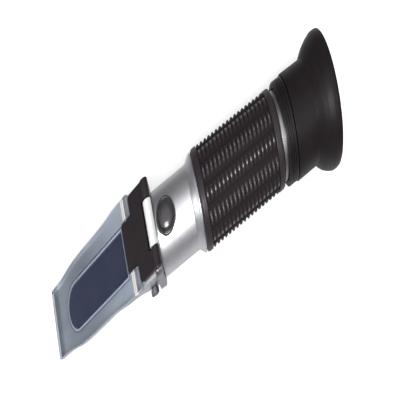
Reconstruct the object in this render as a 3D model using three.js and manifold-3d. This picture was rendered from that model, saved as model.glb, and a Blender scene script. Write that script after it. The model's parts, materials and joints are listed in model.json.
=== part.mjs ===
// Hand-held refractometer: wedge prism head with a hinged daylight plate,
// aluminium body tube with a rubber grip, focusing eyepiece with a rubber eyecup.
// Millimetres. +X runs along the optical axis from the prism to the eye, +Z points
// out of the prism face side, the origin is the centre of the prism housing's flat
// underside. The dimensions below are taken from the point where the optical axis
// meets the rear face of the housing's flange, and the group is shifted at the end.

import * as THREE from "three";
import { mergeVertices } from "three/addons/utils/BufferGeometryUtils.js";
import Module from "manifold-3d";

const wasm = await Module();
wasm.setup();

// ---------------------------------------------------------------- shared dimensions
const ORIGIN_X = -31.7;        // centre of the housing's flat underside
const GAP = 0.3;               // space left between neighbouring pieces
const CUT_REACH = 20;          // cutters run this far, past the metal they cut
const CUT_TOP = 30;            // height above the whole prism head

// facets round a circle
const FACETS = {
  large: 44, tube: 40, sleeve: 36, cell: 32, spotFace: 30, inner: 28, small: 24, screw: 20, tiny: 16,
};

// Slope coordinates: distance along the slanted prism face, and height along its
// normal, both measured from the front end of the daylight plate's outer face.
const SLOPE_ANGLE = THREE.MathUtils.degToRad(23.5);
const SLOPE_X0 = -64.5;
const SLOPE_Z0 = -9.5;
const PLATE_T = 2.4;           // daylight plate thickness
const FACE_N = -(PLATE_T + GAP); // height of the prism face

const HEAD_BOTTOM = -13.5;     // flat underside of the housing
// half width of the prism face: [distance along slope, half width]
const HEAD_PLAN = [
  [0, 9.3], [0.8, 9.65], [4, 9.75], [8, 9.95], [12, 10.35], [16, 10.95],
  [20, 11.3], [26, 11.5], [40, 11.6], [44, 11.85], [48, 12.25], [52.5, 12.35],
];

const SPIGOT_R = 9.8;          // front end of the body tube, let into the housing
const SPIGOT_L = 9.5;

const HOUSING_SCREW = {        // side screws through housing and spigot
  x: -5.85, z: 3.5, holeR: 1.5, shankR: 1.2, shankY: 8.6, headR: 2.0, headY: 12.7, headT: 1.6,
};

const HINGE_X = -1.7;          // cover hinge axis
const HINGE_Z = 16.8;
const HINGE_BARREL_R = 2.0;
const HINGE_PIN_R = 0.9;
const HINGE_FOOT_X0 = HINGE_X - 1.2;
const HINGE_FOOT_Z0 = 13.0;
const KNUCKLE_HALF = 5.9;      // half width of the middle knuckle
const LEAF_HALF = 11.2;        // half width of the hinge leaf

// ---------------------------------------------------------------- helpers
const SLOPE_SIN = Math.sin(SLOPE_ANGLE);
const SLOPE_COS = Math.cos(SLOPE_ANGLE);

// [x, z] of a point given in slope coordinates
const slopePoint = (along, height) => [
  SLOPE_X0 + along * SLOPE_COS - height * SLOPE_SIN,
  SLOPE_Z0 + along * SLOPE_SIN + height * SLOPE_COS,
];
const faceX = (along) => slopePoint(along, FACE_N)[0];
const faceZ = (x) => SLOPE_Z0 + (x - SLOPE_X0) * SLOPE_SIN / SLOPE_COS + FACE_N / SLOPE_COS;

// carries (along, y, height) into the part's frame
const SLOPE_MATRIX = new THREE.Matrix4().set(
  SLOPE_COS, 0, -SLOPE_SIN, SLOPE_X0,
  0, 1, 0, 0,
  SLOPE_SIN, 0, SLOPE_COS, SLOPE_Z0,
  0, 0, 0, 1,
);

// Welds the vertices, drops collapsed triangles, turns the skin outwards
// and makes a solid of it.
function toSolid(geometry) {
  geometry.deleteAttribute("normal");
  geometry.deleteAttribute("uv");
  geometry.clearGroups();
  const welded = mergeVertices(geometry, 1e-4);
  const { position } = welded.attributes;
  const index = welded.index.array;
  const corners = [0, 1, 2].map(() => new THREE.Vector3());
  const triangles = [];
  let volume = 0;
  for (let i = 0; i < index.length; i += 3) {
    const triangle = [index[i], index[i + 1], index[i + 2]];
    if (new Set(triangle).size < 3) continue;
    triangles.push(triangle);
    corners.forEach((corner, k) => corner.fromBufferAttribute(position, triangle[k]));
    volume += corners[0].dot(corners[1].cross(corners[2]));
  }
  const outward = volume < 0 ? triangles.map(([i, j, k]) => [i, k, j]) : triangles;
  return new wasm.Manifold(new wasm.Mesh({
    numProp: 3,
    vertProperties: new Float32Array(position.array),
    triVerts: new Uint32Array(outward.flat()),
  }));
}

function bufferGeometry(positions, triangles) {
  const geometry = new THREE.BufferGeometry();
  geometry.setAttribute("position", new THREE.BufferAttribute(new Float32Array(positions), 3));
  geometry.setIndex(Array.from(triangles));
  return geometry;
}

const cut = (solid, ...cutters) => cutters.reduce((rest, cutter) => rest.subtract(cutter), solid);

// profile [[axial, radius], ...]; closed here unless both its ends lie on the axis
function lathe(profile, facets) {
  const points = profile.map(([axial, radius]) => new THREE.Vector2(radius, axial));
  const onAxis = profile[0][1] === 0 && profile.at(-1)[1] === 0;
  if (!onAxis) points.push(points[0].clone());
  return new THREE.LatheGeometry(points, facets);
}
// turned round the X axis; profile [[x, radius], ...]
const turned = (profile, facets) => toSolid(lathe(profile, facets).rotateZ(-Math.PI / 2));
// turned round the vertical axis through (x, 0); profile [[z, radius], ...]
const turnedZ = (profile, x, facets) =>
  toSolid(lathe(profile, facets).rotateX(Math.PI / 2).translate(x, 0, 0));
// profile of a plain ring, or of a disc when the inner radius is 0
const ringProfile = (start, end, inner, outer) =>
  [[start, inner], [start, outer], [end, outer], [end, inner]];

// skin over convex rings with the same number of [x, y, z] points
function lofted(rings) {
  const count = rings[0].length;
  const last = (rings.length - 1) * count;
  const triangles = [];
  for (let start = 0; start < last; start += count) {
    for (let k = 0; k < count; k++) {
      const here = start + k;
      const next = start + (k + 1) % count;
      triangles.push(here, next, here + count, next, next + count, here + count);
    }
  }
  for (let k = 1; k + 1 < count; k++) {
    triangles.push(0, k + 1, k);
    triangles.push(last, last + k, last + k + 1);
  }
  return toSolid(bufferGeometry(rings.flat(2), triangles));
}

// straight-line reading of a table of [x, value]
function read(table, x) {
  for (let i = 0; i + 1 < table.length; i++) {
    const [x0, value0] = table[i];
    const [x1, value1] = table[i + 1];
    if (x <= x1) return value0 + (value1 - value0) * Math.max(0, (x - x0) / (x1 - x0));
  }
  return table.at(-1)[1];
}

// outlines completed by their mirror image: in the first or the second coordinate
const mirrorFirst = (half) => [...half, ...half.toReversed().map(([y, z]) => [-y, z])];
const mirrorSecond = (half) => [...half.map(([x, y]) => [x, -y]), ...half.toReversed()];

function extruded(points, depth) {
  const shape = new THREE.Shape(points.map(([u, v]) => new THREE.Vector2(u, v)));
  return new THREE.ExtrudeGeometry(shape, { depth, bevelEnabled: false, curveSegments: 1 });
}
// outline in X and Z, thick along Y
const alongY = (points, y0, y1) =>
  toSolid(extruded(points, y1 - y0).rotateX(Math.PI / 2).translate(0, y1, 0));
// outline in X and Y, thick along Z
const alongZ = (points, z0, z1) => toSolid(extruded(points, z1 - z0).translate(0, 0, z0));
// outline in Y and Z, thick along X
function alongX(points, x0, x1) {
  const turn = new THREE.Matrix4().set(0, 0, 1, x0, 1, 0, 0, 0, 0, 1, 0, 0, 0, 0, 0, 1);
  return toSolid(extruded(points, x1 - x0).applyMatrix4(turn));
}
// outline in slope distance and Y, thick along the slope's normal
const onSlope = (points, low, high) =>
  toSolid(extruded(points, high - low).translate(0, 0, low).applyMatrix4(SLOPE_MATRIX));
const slopeBox = (start, end, half, low, high) =>
  onSlope(mirrorSecond([[start, half], [end, half]]), low, high);
// layer over the whole head between two heights on the slope
const slopeLayer = (low, high) => slopeBox(-10, 90, 20, low, high);

const block = (x0, x1, y0, y1, z0, z1) => toSolid(
  new THREE.BoxGeometry(x1 - x0, y1 - y0, z1 - z0)
    .translate((x0 + x1) / 2, (y0 + y1) / 2, (z0 + z1) / 2));
const rodX = (radius, x0, x1, facets) => toSolid(
  new THREE.CylinderGeometry(radius, radius, x1 - x0, facets)
    .rotateZ(-Math.PI / 2)
    .translate((x0 + x1) / 2, 0, 0));
const rodY = (radius, y0, y1, x, z, facets = FACETS.small) => toSolid(
  new THREE.CylinderGeometry(radius, radius, y1 - y0, facets)
    .translate(x, (y0 + y1) / 2, z));
const rodZ = (radius, z0, z1, x, facets = FACETS.small) => toSolid(
  new THREE.CylinderGeometry(radius, radius, z1 - z0, facets)
    .rotateX(Math.PI / 2)
    .translate(x, 0, (z0 + z1) / 2));
const throughY = (radius, x, z, facets) => rodY(radius, -CUT_REACH, CUT_REACH, x, z, facets);

// lens turned from two parabolic faces; front and rear are the face edges
function lens({ front, rear, radius, frontBulge, rearBulge }) {
  const STEPS = 3;
  const face = (edge, bulge) => Array.from({ length: STEPS + 1 }, (_, i) => {
    const reach = (i / STEPS) * radius;
    return [edge + bulge * (1 - (reach / radius) ** 2), reach];
  });
  const profile = [...face(front, -frontBulge), ...face(rear, rearBulge).reverse()];
  return turned(profile, FACETS.small);
}

// ---------------------------------------------------------------- prism head
const HOUSING_REAR_X = -3.3;   // the hull ends just inside the flange
// half width of the flat underside: [x, half width]
const HEAD_KEEL = [[-63.5, 9.0], [-17, 6.9], [HOUSING_REAR_X, 8.2]];
// height of the upright upper part of each side: [x, height]
const HEAD_UPRIGHT = [[-26, 0], [-19, 1.2], [-13, 4.2], [-8, 9.4], [HOUSING_REAR_X, 12.8]];
const HEAD_EXTRA_STATIONS = [-26, -19, -13, -10.5, -8, HOUSING_REAR_X];

const FLANGE_L = 3.5;
const FLANGE_HALF = 12.6;
const FLANGE_BELLY_R = 9;      // rounding between the flange's side and underside
const FLANGE_BELLY_STEPS = 6;
// upper side of the flange: [inset from the side, z]
const FLANGE_SHOULDER = [[0, 12.4], [0.5, 13.7], [1.3, 14.8], [2.2, 15.5], [2.2, CUT_TOP]];

const WINDOW_HALF = 5.75;      // prism half width
const WINDOW_START = 10.2;     // round front end of the prism, along the slope
const WINDOW_END = 50.0;       // straight rear end of the prism, along the slope
const WINDOW_STEPS = 14;       // steps round the front end
const PRISM_BOTTOM = -10.6;
const PRISM_BORE_R = 6.5;      // light passage behind the prism
const SEAL_W = 0.7;            // cement bead round the prism
const SEAL_T = 1.1;

// Column over the prism window, grown all round by a margin: round at the front,
// straight at the rear, dropped straight down from the prism face.
function windowColumn(margin, z0, z1) {
  const half = WINDOW_HALF + margin;
  const centre = WINDOW_START + WINDOW_HALF;
  const outline = [];
  for (let i = 0; i <= WINDOW_STEPS; i++) {
    const angle = Math.PI / 2 + (Math.PI * i) / WINDOW_STEPS;
    outline.push([centre + half * Math.cos(angle), half * Math.sin(angle)]);
  }
  outline.push([WINDOW_END + margin, -half], [WINDOW_END + margin, half]);
  return alongZ(outline.map(([along, y]) => [faceX(along), y]), z0, z1);
}

// cross-section of the head at x: chamfered keel, leaning side, upright top
function headSection(x) {
  const topHalf = read(HEAD_PLAN.map(([along, half]) => [faceX(along), half]), x);
  const top = faceZ(x);
  const bendZ = top - read(HEAD_UPRIGHT, x) - 0.3;
  const keelHalf = Math.min(read(HEAD_KEEL, x), topHalf - 0.25);
  const sideHeight = bendZ - HEAD_BOTTOM;
  const lean = (topHalf - keelHalf) / sideHeight;
  const chamfer = Math.min(1.2, sideHeight * 0.4);
  return mirrorFirst([
    [keelHalf - 0.75 * chamfer, HEAD_BOTTOM],
    [keelHalf - 0.1 * chamfer, HEAD_BOTTOM + 0.16 * chamfer],
    [keelHalf + chamfer * lean, HEAD_BOTTOM + chamfer],
    [topHalf, bendZ],
    [topHalf, top],
  ]).map(([y, z]) => [x, y, z]);
}

function housingFlange() {
  const half = [];
  for (let i = 0; i <= FLANGE_BELLY_STEPS; i++) {
    const angle = (-Math.PI / 2) * (1 - i / FLANGE_BELLY_STEPS);
    half.push([
      FLANGE_HALF - FLANGE_BELLY_R + FLANGE_BELLY_R * Math.cos(angle),
      HEAD_BOTTOM + FLANGE_BELLY_R + FLANGE_BELLY_R * Math.sin(angle),
    ]);
  }
  half.push(...FLANGE_SHOULDER.map(([inset, z]) => [FLANGE_HALF - inset, z]));
  return alongX(mirrorFirst(half), -FLANGE_L, 0).intersect(slopeLayer(-60, FACE_N));
}

function prismHousing() {
  const stations = [...HEAD_PLAN.map(([along]) => faceX(along)), ...HEAD_EXTRA_STATIONS]
    .sort((x0, x1) => x0 - x1);
  const hull = lofted(stations.map(headSection));
  const prismPocket = windowColumn(GAP, PRISM_BOTTOM - GAP, CUT_TOP);
  const sealRebate = windowColumn(GAP + SEAL_W + GAP, -CUT_REACH, CUT_TOP)
    .intersect(slopeLayer(FACE_N - SEAL_T - GAP, 6));
  const passage = rodX(PRISM_BORE_R, faceX(WINDOW_END) - 2, 1, FACETS.tube);
  const spigotSocket = rodX(SPIGOT_R + GAP, -SPIGOT_L - GAP, 1, FACETS.large);
  const footHalf = KNUCKLE_HALF + GAP;
  const footPocket = block(
    HINGE_FOOT_X0 - GAP, 1, -footHalf, footHalf, HINGE_FOOT_Z0 - GAP, CUT_TOP);
  const hingeRelief = rodY(
    HINGE_BARREL_R + GAP, -LEAF_HALF - GAP, LEAF_HALF + GAP, HINGE_X, HINGE_Z);
  return cut(hull.add(housingFlange()),
    prismPocket, sealRebate, passage, spigotSocket, footPocket, hingeRelief, housingScrewHoles());
}

const mainPrism = () =>
  windowColumn(0, PRISM_BOTTOM, CUT_TOP).intersect(slopeLayer(-60, FACE_N));

const prismSeal = () => windowColumn(GAP + SEAL_W, -CUT_REACH, CUT_TOP)
  .intersect(slopeLayer(FACE_N - SEAL_T, FACE_N))
  .subtract(windowColumn(GAP, -25, 35));

// foot let into the flange, with a barrel round the hinge pin
function hingeBlock() {
  const foot = block(
    HINGE_FOOT_X0, -GAP, -KNUCKLE_HALF, KNUCKLE_HALF, HINGE_FOOT_Z0, HINGE_Z);
  const barrel = rodY(HINGE_BARREL_R, -KNUCKLE_HALF, KNUCKLE_HALF, HINGE_X, HINGE_Z);
  return cut(foot.add(barrel), hingePinHole());
}

const hingePinHole = () => throughY(HINGE_PIN_R + GAP, HINGE_X, HINGE_Z);

const housingScrewHoles = () =>
  throughY(HOUSING_SCREW.holeR, HOUSING_SCREW.x, HOUSING_SCREW.z, FACETS.screw);

// slotted screw; side is 1 for the +Y side, -1 for the -Y side
function housingScrew(side) {
  const { x, z, shankR, shankY, headR, headY, headT } = HOUSING_SCREW;
  const span = (near, far) => (side > 0 ? [near, far] : [-far, -near]);
  const head = rodY(headR, ...span(headY, headY + headT), x, z, FACETS.screw);
  const shank = rodY(shankR, ...span(shankY, headY + 0.1), x, z, FACETS.screw);
  const slot = block(x - 3, x + 3, ...span(headY + 1.0, headY + 2.2), z - 0.3, z + 0.3);
  return cut(head.add(shank), slot);
}

// ---------------------------------------------------------------- cover
const TONGUE_HALF = 6.2;       // half width of the leaf's front tongue
const TONGUE_START = 52.5;     // front of the tongue, along the slope
const LEAF_START = 58.5;       // front of the full-width leaf, along the slope
const LEAF_CHAMFER = 0.4;
const LEAF_TOP = 0.3;
const PLATE_PIN_R = 0.6;       // the plate's levelling pin
const PLATE_PIN_HOLE_R = PLATE_PIN_R + 0.2;
const PLATE_PIN_HALF = 11.6;
const [PLATE_PIN_X, PLATE_PIN_Z] = slopePoint(54.9, -1.05);
const PLATE_KNUCKLE_R = 1.35;
const EAR_HALF = 12.3;         // outer half width across the plate's rear ears
const EAR_CHAMFER = 0.6;
// material bevelled off the plate's front lip: [distance along slope, height]
const LIP_CUTTER = [[-1, -1.3], [0, -1.3], [1.6, 0], [1.6, 2], [-1, 2]];

const hingePin = () => rodY(HINGE_PIN_R, -LEAF_HALF + 0.2, LEAF_HALF - 0.2, HINGE_X, HINGE_Z);

function coverLeaf() {
  const hingeAlong = (HINGE_X - SLOPE_X0) * SLOPE_COS + (HINGE_Z - SLOPE_Z0) * SLOPE_SIN;
  const leaf = onSlope(mirrorSecond([
    [TONGUE_START, TONGUE_HALF], [LEAF_START, TONGUE_HALF],
    [LEAF_START, LEAF_HALF - LEAF_CHAMFER], [LEAF_START + LEAF_CHAMFER, LEAF_HALF],
    [hingeAlong, LEAF_HALF],
  ]), -PLATE_T, LEAF_TOP);
  const barrel = rodY(HINGE_BARREL_R, -LEAF_HALF, LEAF_HALF, HINGE_X, HINGE_Z);
  const knuckleNotch = slopeBox(hingeAlong - 2.6, hingeAlong + 6, KNUCKLE_HALF + GAP, -8, 8);
  const platePinHole = throughY(PLATE_PIN_HOLE_R, PLATE_PIN_X, PLATE_PIN_Z, FACETS.screw);
  return cut(leaf.add(barrel), knuckleNotch, hingePinHole(), platePinHole);
}

const platePin = () => rodY(
  PLATE_PIN_R, -PLATE_PIN_HALF, PLATE_PIN_HALF, PLATE_PIN_X, PLATE_PIN_Z, FACETS.tiny);

// clear sheet whose two rear ears pass either side of the leaf's tongue
function daylightPlate() {
  const earInner = TONGUE_HALF + GAP;
  const rear = LEAF_START - GAP;
  const sheet = onSlope(mirrorSecond([
    ...HEAD_PLAN, [rear - EAR_CHAMFER, EAR_HALF], [rear, EAR_HALF - EAR_CHAMFER],
    [rear, earInner], [TONGUE_START - GAP, earInner],
  ]), -PLATE_T, 0);
  const lip = alongY(LIP_CUTTER.map((point) => slopePoint(...point)), -CUT_REACH, CUT_REACH);
  const knuckleEnd = EAR_HALF - 0.4;
  const knuckle = (y0, y1) => rodY(PLATE_KNUCKLE_R, y0, y1, PLATE_PIN_X, PLATE_PIN_Z);
  const pinBore = rodY(
    PLATE_PIN_HOLE_R, -knuckleEnd, knuckleEnd, PLATE_PIN_X, PLATE_PIN_Z, FACETS.screw);
  return sheet.subtract(lip)
    .add(knuckle(-knuckleEnd, -earInner).add(knuckle(earInner, knuckleEnd)))
    .subtract(pinBore);
}

// ---------------------------------------------------------------- body tube and grip
const TUBE_R = 11.4;
const TUBE_BORE_R = 10.4;
const TUBE_END = 67.7;
const REAR_BORE_X0 = 56;       // the bore widens here for the eyepiece barrel
const SPIGOT_BORE_R = 8.0;
const SHOULDER_X0 = 19.3;
const SHOULDER_X1 = 22.7;
const SHOULDER_R = 13.8;
const SEAT_R = 12.2;           // tube under the grip
const BARREL_R = 11.0;         // eyepiece barrel
const REAR_BORE_R = BARREL_R + GAP;

const GRIP_X0 = SHOULDER_X1 + GAP;
const GRIP_X1 = 67.5;
const GRIP_R = SHOULDER_R;
const GRIP_BORE_R = SEAT_R + GAP;
const GRIP_BAND = 4.2;         // plain band at each end
const GRIP_RIBS = 7;
const GRIP_GROOVE = 0.55;      // depth between ribs

const CAL_X = 5.9;             // calibration screw position
const CAL_FLAT_Z = 11.0;       // spot face on the tube
const CAP_R = 4.9;
const BUSH_R = 3.2;
const STRIP_SCREW_X = 40;
const STRIP_HOLE_R = 1.5;

function bodyTube() {
  const shell = turned([
    [-SPIGOT_L, SPIGOT_BORE_R], [-SPIGOT_L, SPIGOT_R], [GAP, SPIGOT_R], [GAP, TUBE_R],
    [SHOULDER_X0, TUBE_R], [SHOULDER_X1 - 1.0, SHOULDER_R - 0.6],
    [SHOULDER_X1, SHOULDER_R - 0.1], [SHOULDER_X1, SEAT_R],
    [TUBE_END, SEAT_R], [TUBE_END, REAR_BORE_R],
    [REAR_BORE_X0, REAR_BORE_R], [REAR_BORE_X0, TUBE_BORE_R],
    [2, TUBE_BORE_R], [2, SPIGOT_BORE_R],
  ], FACETS.tube);
  const spotFace = rodZ(CAP_R + 0.27, CAL_FLAT_Z, CUT_REACH, CAL_X, FACETS.spotFace);
  const bushHole = rodZ(BUSH_R + GAP, 5, CUT_REACH, CAL_X);
  const stripHole = rodZ(STRIP_HOLE_R, -CUT_REACH, -5, STRIP_SCREW_X, FACETS.tiny);
  return cut(shell, spotFace, bushHole, housingScrewHoles(), stripHole);
}

function gripSleeve() {
  const ribsX0 = GRIP_X0 + GRIP_BAND;
  const ribsX1 = GRIP_X1 - GRIP_BAND;
  const pitch = (ribsX1 - ribsX0) / GRIP_RIBS;
  const profile = [[GRIP_X0, GRIP_BORE_R], [GRIP_X0, GRIP_R - 0.5], [GRIP_X0 + 0.6, GRIP_R]];
  for (let i = 0; i < GRIP_RIBS; i++) {
    const x = ribsX0 + i * pitch;
    profile.push(
      [x, GRIP_R],
      [x + pitch * 0.25, GRIP_R - GRIP_GROOVE],
      [x + pitch * 0.75, GRIP_R - GRIP_GROOVE],
    );
  }
  profile.push(
    [ribsX1, GRIP_R], [GRIP_X1 - 0.6, GRIP_R], [GRIP_X1, GRIP_R - 0.5], [GRIP_X1, GRIP_BORE_R]);
  return turned(profile, FACETS.sleeve);
}

// ---------------------------------------------------------------- calibration
const CAL_SCREW_R = 1.8;
const CAL_SCREW_TOP = 13.2;
const CAP_TOP = 15.0;
const CARRIAGE_R = 7.6;
const CARRIAGE_FLAT_Z = 6.6;
const OBJECTIVE_R = 4.8;
const STRIP_Z0 = -9.2;
const STRIP_Z1 = -8.4;

const calibrationBush = () => turnedZ(ringProfile(8.4, 12.5, 2.1, BUSH_R), CAL_X, FACETS.small);

function calibrationScrew() {
  const screw = turnedZ([
    [6.9, 0], [6.9, 1.2], [7.6, CAL_SCREW_R], [CAL_SCREW_TOP - 0.2, CAL_SCREW_R],
    [CAL_SCREW_TOP, CAL_SCREW_R - 0.2], [CAL_SCREW_TOP, 0],
  ], CAL_X, FACETS.small);
  return screw.subtract(block(CAL_X - 3, CAL_X + 3, -0.3, 0.3, 12.4, 15));
}

// domed cap, hollow underneath
const calibrationCap = () => turnedZ([
  [11.3, 3.6], [11.3, CAP_R], [12.9, CAP_R], [13.2, CAP_R - 0.3], [13.2, CAP_R - 0.9],
  [14.2, CAP_R - 1.1], [14.8, CAP_R - 2.0], [CAP_TOP, 0], [14.0, 0], [14.0, 3.0], [13.7, 3.6],
], CAL_X, FACETS.cell);

// objective lens carriage, pressed between the calibration screw and the bimetal strip
function lensCarriage() {
  const ring = turned([
    [2.8, 4.2], [2.8, CARRIAGE_R - 0.3], [3.1, CARRIAGE_R], [8.6, CARRIAGE_R],
    [8.6, OBJECTIVE_R + GAP], [3.9, OBJECTIVE_R + GAP], [3.9, 4.2],
  ], FACETS.inner);
  return ring.subtract(block(0, 12, -12, 12, CARRIAGE_FLAT_Z, 12));
}

const objectiveLens = () =>
  lens({ front: 5.0, rear: 6.4, radius: OBJECTIVE_R, frontBulge: 0.7, rearBulge: 0.5 });
const objectiveRing = () => turned(ringProfile(7.3, 8.3, 3.9, OBJECTIVE_R), FACETS.small);

const bimetalStrip = () => block(3.2, 44, -3, 3, STRIP_Z0, STRIP_Z1)
  .subtract(rodZ(STRIP_HOLE_R, -CUT_REACH, 0, STRIP_SCREW_X, FACETS.tiny));

// the head sits a gap above the strip
const bimetalScrew = () => turnedZ([
  [-11.9, 0], [-11.9, 1.2], [STRIP_Z1 + GAP, 1.2], [STRIP_Z1 + GAP, 2.2], [-6.9, 2.2], [-6.9, 0],
], STRIP_SCREW_X, FACETS.screw);

const lightBaffle = () => turned(ringProfile(50, 51.2, 6.5, 10.1), FACETS.inner);

// ---------------------------------------------------------------- eyepiece
const BARREL_BORE_R = 9.6;
const BARREL_X0 = 58.0;
const BARREL_X1 = 81.0;
const COLLAR_R = 12.4;         // bright ring between grip and focusing ring
const COLLAR_X0 = TUBE_END + GAP;
const COLLAR_X1 = 73.5;

const CELL_R = BARREL_BORE_R - GAP; // lens cell
const CELL_FLANGE_X0 = 84.3;
const CELL_X1 = 86.0;
const LENS_R = 8.0;
const GUIDE_X = 77.5;          // guide screw, running in the cell's keyway
const GUIDE_R = 0.9;
const GUIDE_HOLE_R = GUIDE_R + GAP;

const FOCUS_X0 = 70.0;
const FOCUS_BAND_X1 = 74.9;
const FOCUS_X1 = 88.0;
const FOCUS_R = 14.4;
const FOCUS_NECK_R = 13.2;
const FOCUS_GROOVES = [71.2, 72.6]; // front edges of the grooves

const CUP_X0 = FOCUS_BAND_X1 + GAP;
const CUP_R = 14.85;
const CUP_BORE_R = FOCUS_NECK_R + GAP;
const CUP_FLARE_X0 = 87.5;
const CUP_RIM_R = 19.6;
const CUP_X1 = 99.2;

function eyepieceBarrel() {
  const shell = turned([
    [BARREL_X0, BARREL_BORE_R], [BARREL_X0, BARREL_R], [COLLAR_X0, BARREL_R],
    [COLLAR_X0, COLLAR_R], [COLLAR_X1, COLLAR_R], [COLLAR_X1, BARREL_R],
    [BARREL_X1, BARREL_R], [BARREL_X1, BARREL_BORE_R],
  ], FACETS.sleeve);
  return shell.subtract(rodZ(GUIDE_HOLE_R, 5, CUT_REACH, GUIDE_X, FACETS.tiny));
}

const reticleRing = () => turned([
  [59.0, 7.0], [59.0, CELL_R], [62.6, CELL_R], [62.6, 8.2], [60.0, 8.2], [60.0, 7.0],
], FACETS.inner);
const reticleGlass = () => turned(ringProfile(60.3, 61.8, 0, 7.9), FACETS.small);

function lensCell() {
  const cell = turned([
    [66.0, 7.0], [66.0, CELL_R - 0.3], [66.3, CELL_R], [CELL_FLANGE_X0, CELL_R],
    [CELL_FLANGE_X0, 10.9], [CELL_X1, 10.9],
    [CELL_X1, LENS_R + GAP], [67.0, LENS_R + GAP], [67.0, 7.0],
  ], FACETS.cell);
  return cell.subtract(block(72.0, 80.4, -GUIDE_HOLE_R, GUIDE_HOLE_R, 8.55, 12));
}

const guideScrew = () => turnedZ(ringProfile(8.75, 10.85, 0, GUIDE_R), GUIDE_X, FACETS.tiny);
const fieldLens = () =>
  lens({ front: 68.4, rear: 70.0, radius: LENS_R, frontBulge: 0.9, rearBulge: 0.2 });
const lensSpacer = () => turned(ringProfile(70.6, 79.3, 7.2, LENS_R), FACETS.inner);
const eyeLens = () =>
  lens({ front: 80.4, rear: 82.6, radius: LENS_R, frontBulge: 0.6, rearBulge: 1.2 });
const lensRetainingRing = () => turned(ringProfile(84.1, 85.4, 6.7, LENS_R), FACETS.inner);

function focusRing() {
  const floorR = FOCUS_R - 0.45;
  const groove = (x) =>
    [[x, FOCUS_R], [x + 0.15, floorR], [x + 0.5, floorR], [x + 0.65, FOCUS_R]];
  return turned([
    [FOCUS_X0, COLLAR_R + GAP], [FOCUS_X0, FOCUS_R - 0.3], [FOCUS_X0 + 0.3, FOCUS_R],
    ...FOCUS_GROOVES.flatMap(groove),
    [FOCUS_BAND_X1, FOCUS_R], [FOCUS_BAND_X1, FOCUS_NECK_R], [FOCUS_X1, FOCUS_NECK_R],
    [FOCUS_X1, 8.6], [CELL_X1 + GAP, 8.6], [CELL_X1 + GAP, BARREL_R + GAP],
    [75.5, BARREL_R + GAP], [75.5, COLLAR_R + GAP],
  ], FACETS.large);
}

const cellRetainer = () =>
  turned(ringProfile(82.8, CELL_FLANGE_X0 - GAP, CELL_R + 0.4, 11.0), FACETS.inner);

// sleeve over the focusing ring's neck, flaring to a rounded rim
const eyecup = () => turned([
  [CUP_X0, CUP_BORE_R], [CUP_X0, CUP_R - 0.4], [CUP_X0 + 0.4, CUP_R],
  [CUP_FLARE_X0 - 0.6, CUP_R], [CUP_FLARE_X0 + 0.2, CUP_R + 0.35], [90.0, 16.9], [92.9, 18.5],
  [95.4, CUP_RIM_R - 0.1], [97.3, CUP_RIM_R], [98.65, CUP_RIM_R - 0.15],
  [CUP_X1, CUP_RIM_R - 0.6], [CUP_X1, CUP_RIM_R - 1.6], [98.1, CUP_RIM_R - 2.0],
  [94.9, 16.9], [91.7, 14.7], [90.3, 12.2], [90.0, 9.4],
  [FOCUS_X1 + GAP, 9.0], [FOCUS_X1 + GAP, CUP_BORE_R],
], FACETS.large);

// ---------------------------------------------------------------- materials
const finish = (color, roughness, metalness, opacity = 1) =>
  ({ color, roughness, metalness, ...(opacity < 1 && { transparent: true, opacity }) });

// colour, roughness, metalness, opacity
const FINISH = {
  housing: finish(0xa9adb2, 0.38, 0.9),
  prism: finish(0x2c3350, 0.06, 0.0, 0.6),
  cement: finish(0xd5d8dc, 0.5, 0.0),
  hingeBlock: finish(0xe6e8ea, 0.18, 1.0),
  screw: finish(0xb9bcc0, 0.3, 1.0),
  hingePin: finish(0xc8cbd0, 0.25, 1.0),
  leaf: finish(0x1b1a1c, 0.45, 0.0),
  platePin: finish(0xd8dade, 0.2, 1.0),
  plate: finish(0xb9c3d0, 0.08, 0.0, 0.35),
  tube: finish(0xbfc2c6, 0.32, 0.95),
  grip: finish(0x2b2529, 0.6, 0.0),
  bush: finish(0xc9a24a, 0.35, 1.0),
  calScrew: finish(0xcdb36a, 0.3, 1.0),
  cap: finish(0x3a393d, 0.42, 0.0),
  darkMetal: finish(0x303236, 0.5, 0.6),
  lens: finish(0xcfdce6, 0.03, 0.0, 0.4),
  objectiveRing: finish(0x202124, 0.5, 0.6),
  bimetal: finish(0xb78b4f, 0.35, 1.0),
  baffle: finish(0x151515, 0.7, 0.2),
  barrel: finish(0xd9dbdd, 0.2, 1.0),
  reticleRing: finish(0x26272a, 0.5, 0.6),
  reticleGlass: finish(0xdfe6ea, 0.04, 0.0, 0.35),
  cell: finish(0x2a2b2e, 0.45, 0.6),
  spacer: finish(0x1a1a1a, 0.7, 0.3),
  retainingRing: finish(0x1a1a1a, 0.6, 0.4),
  focusRing: finish(0x17171a, 0.3, 0.1),
  eyecup: finish(0x232124, 0.55, 0.0),
};

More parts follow.
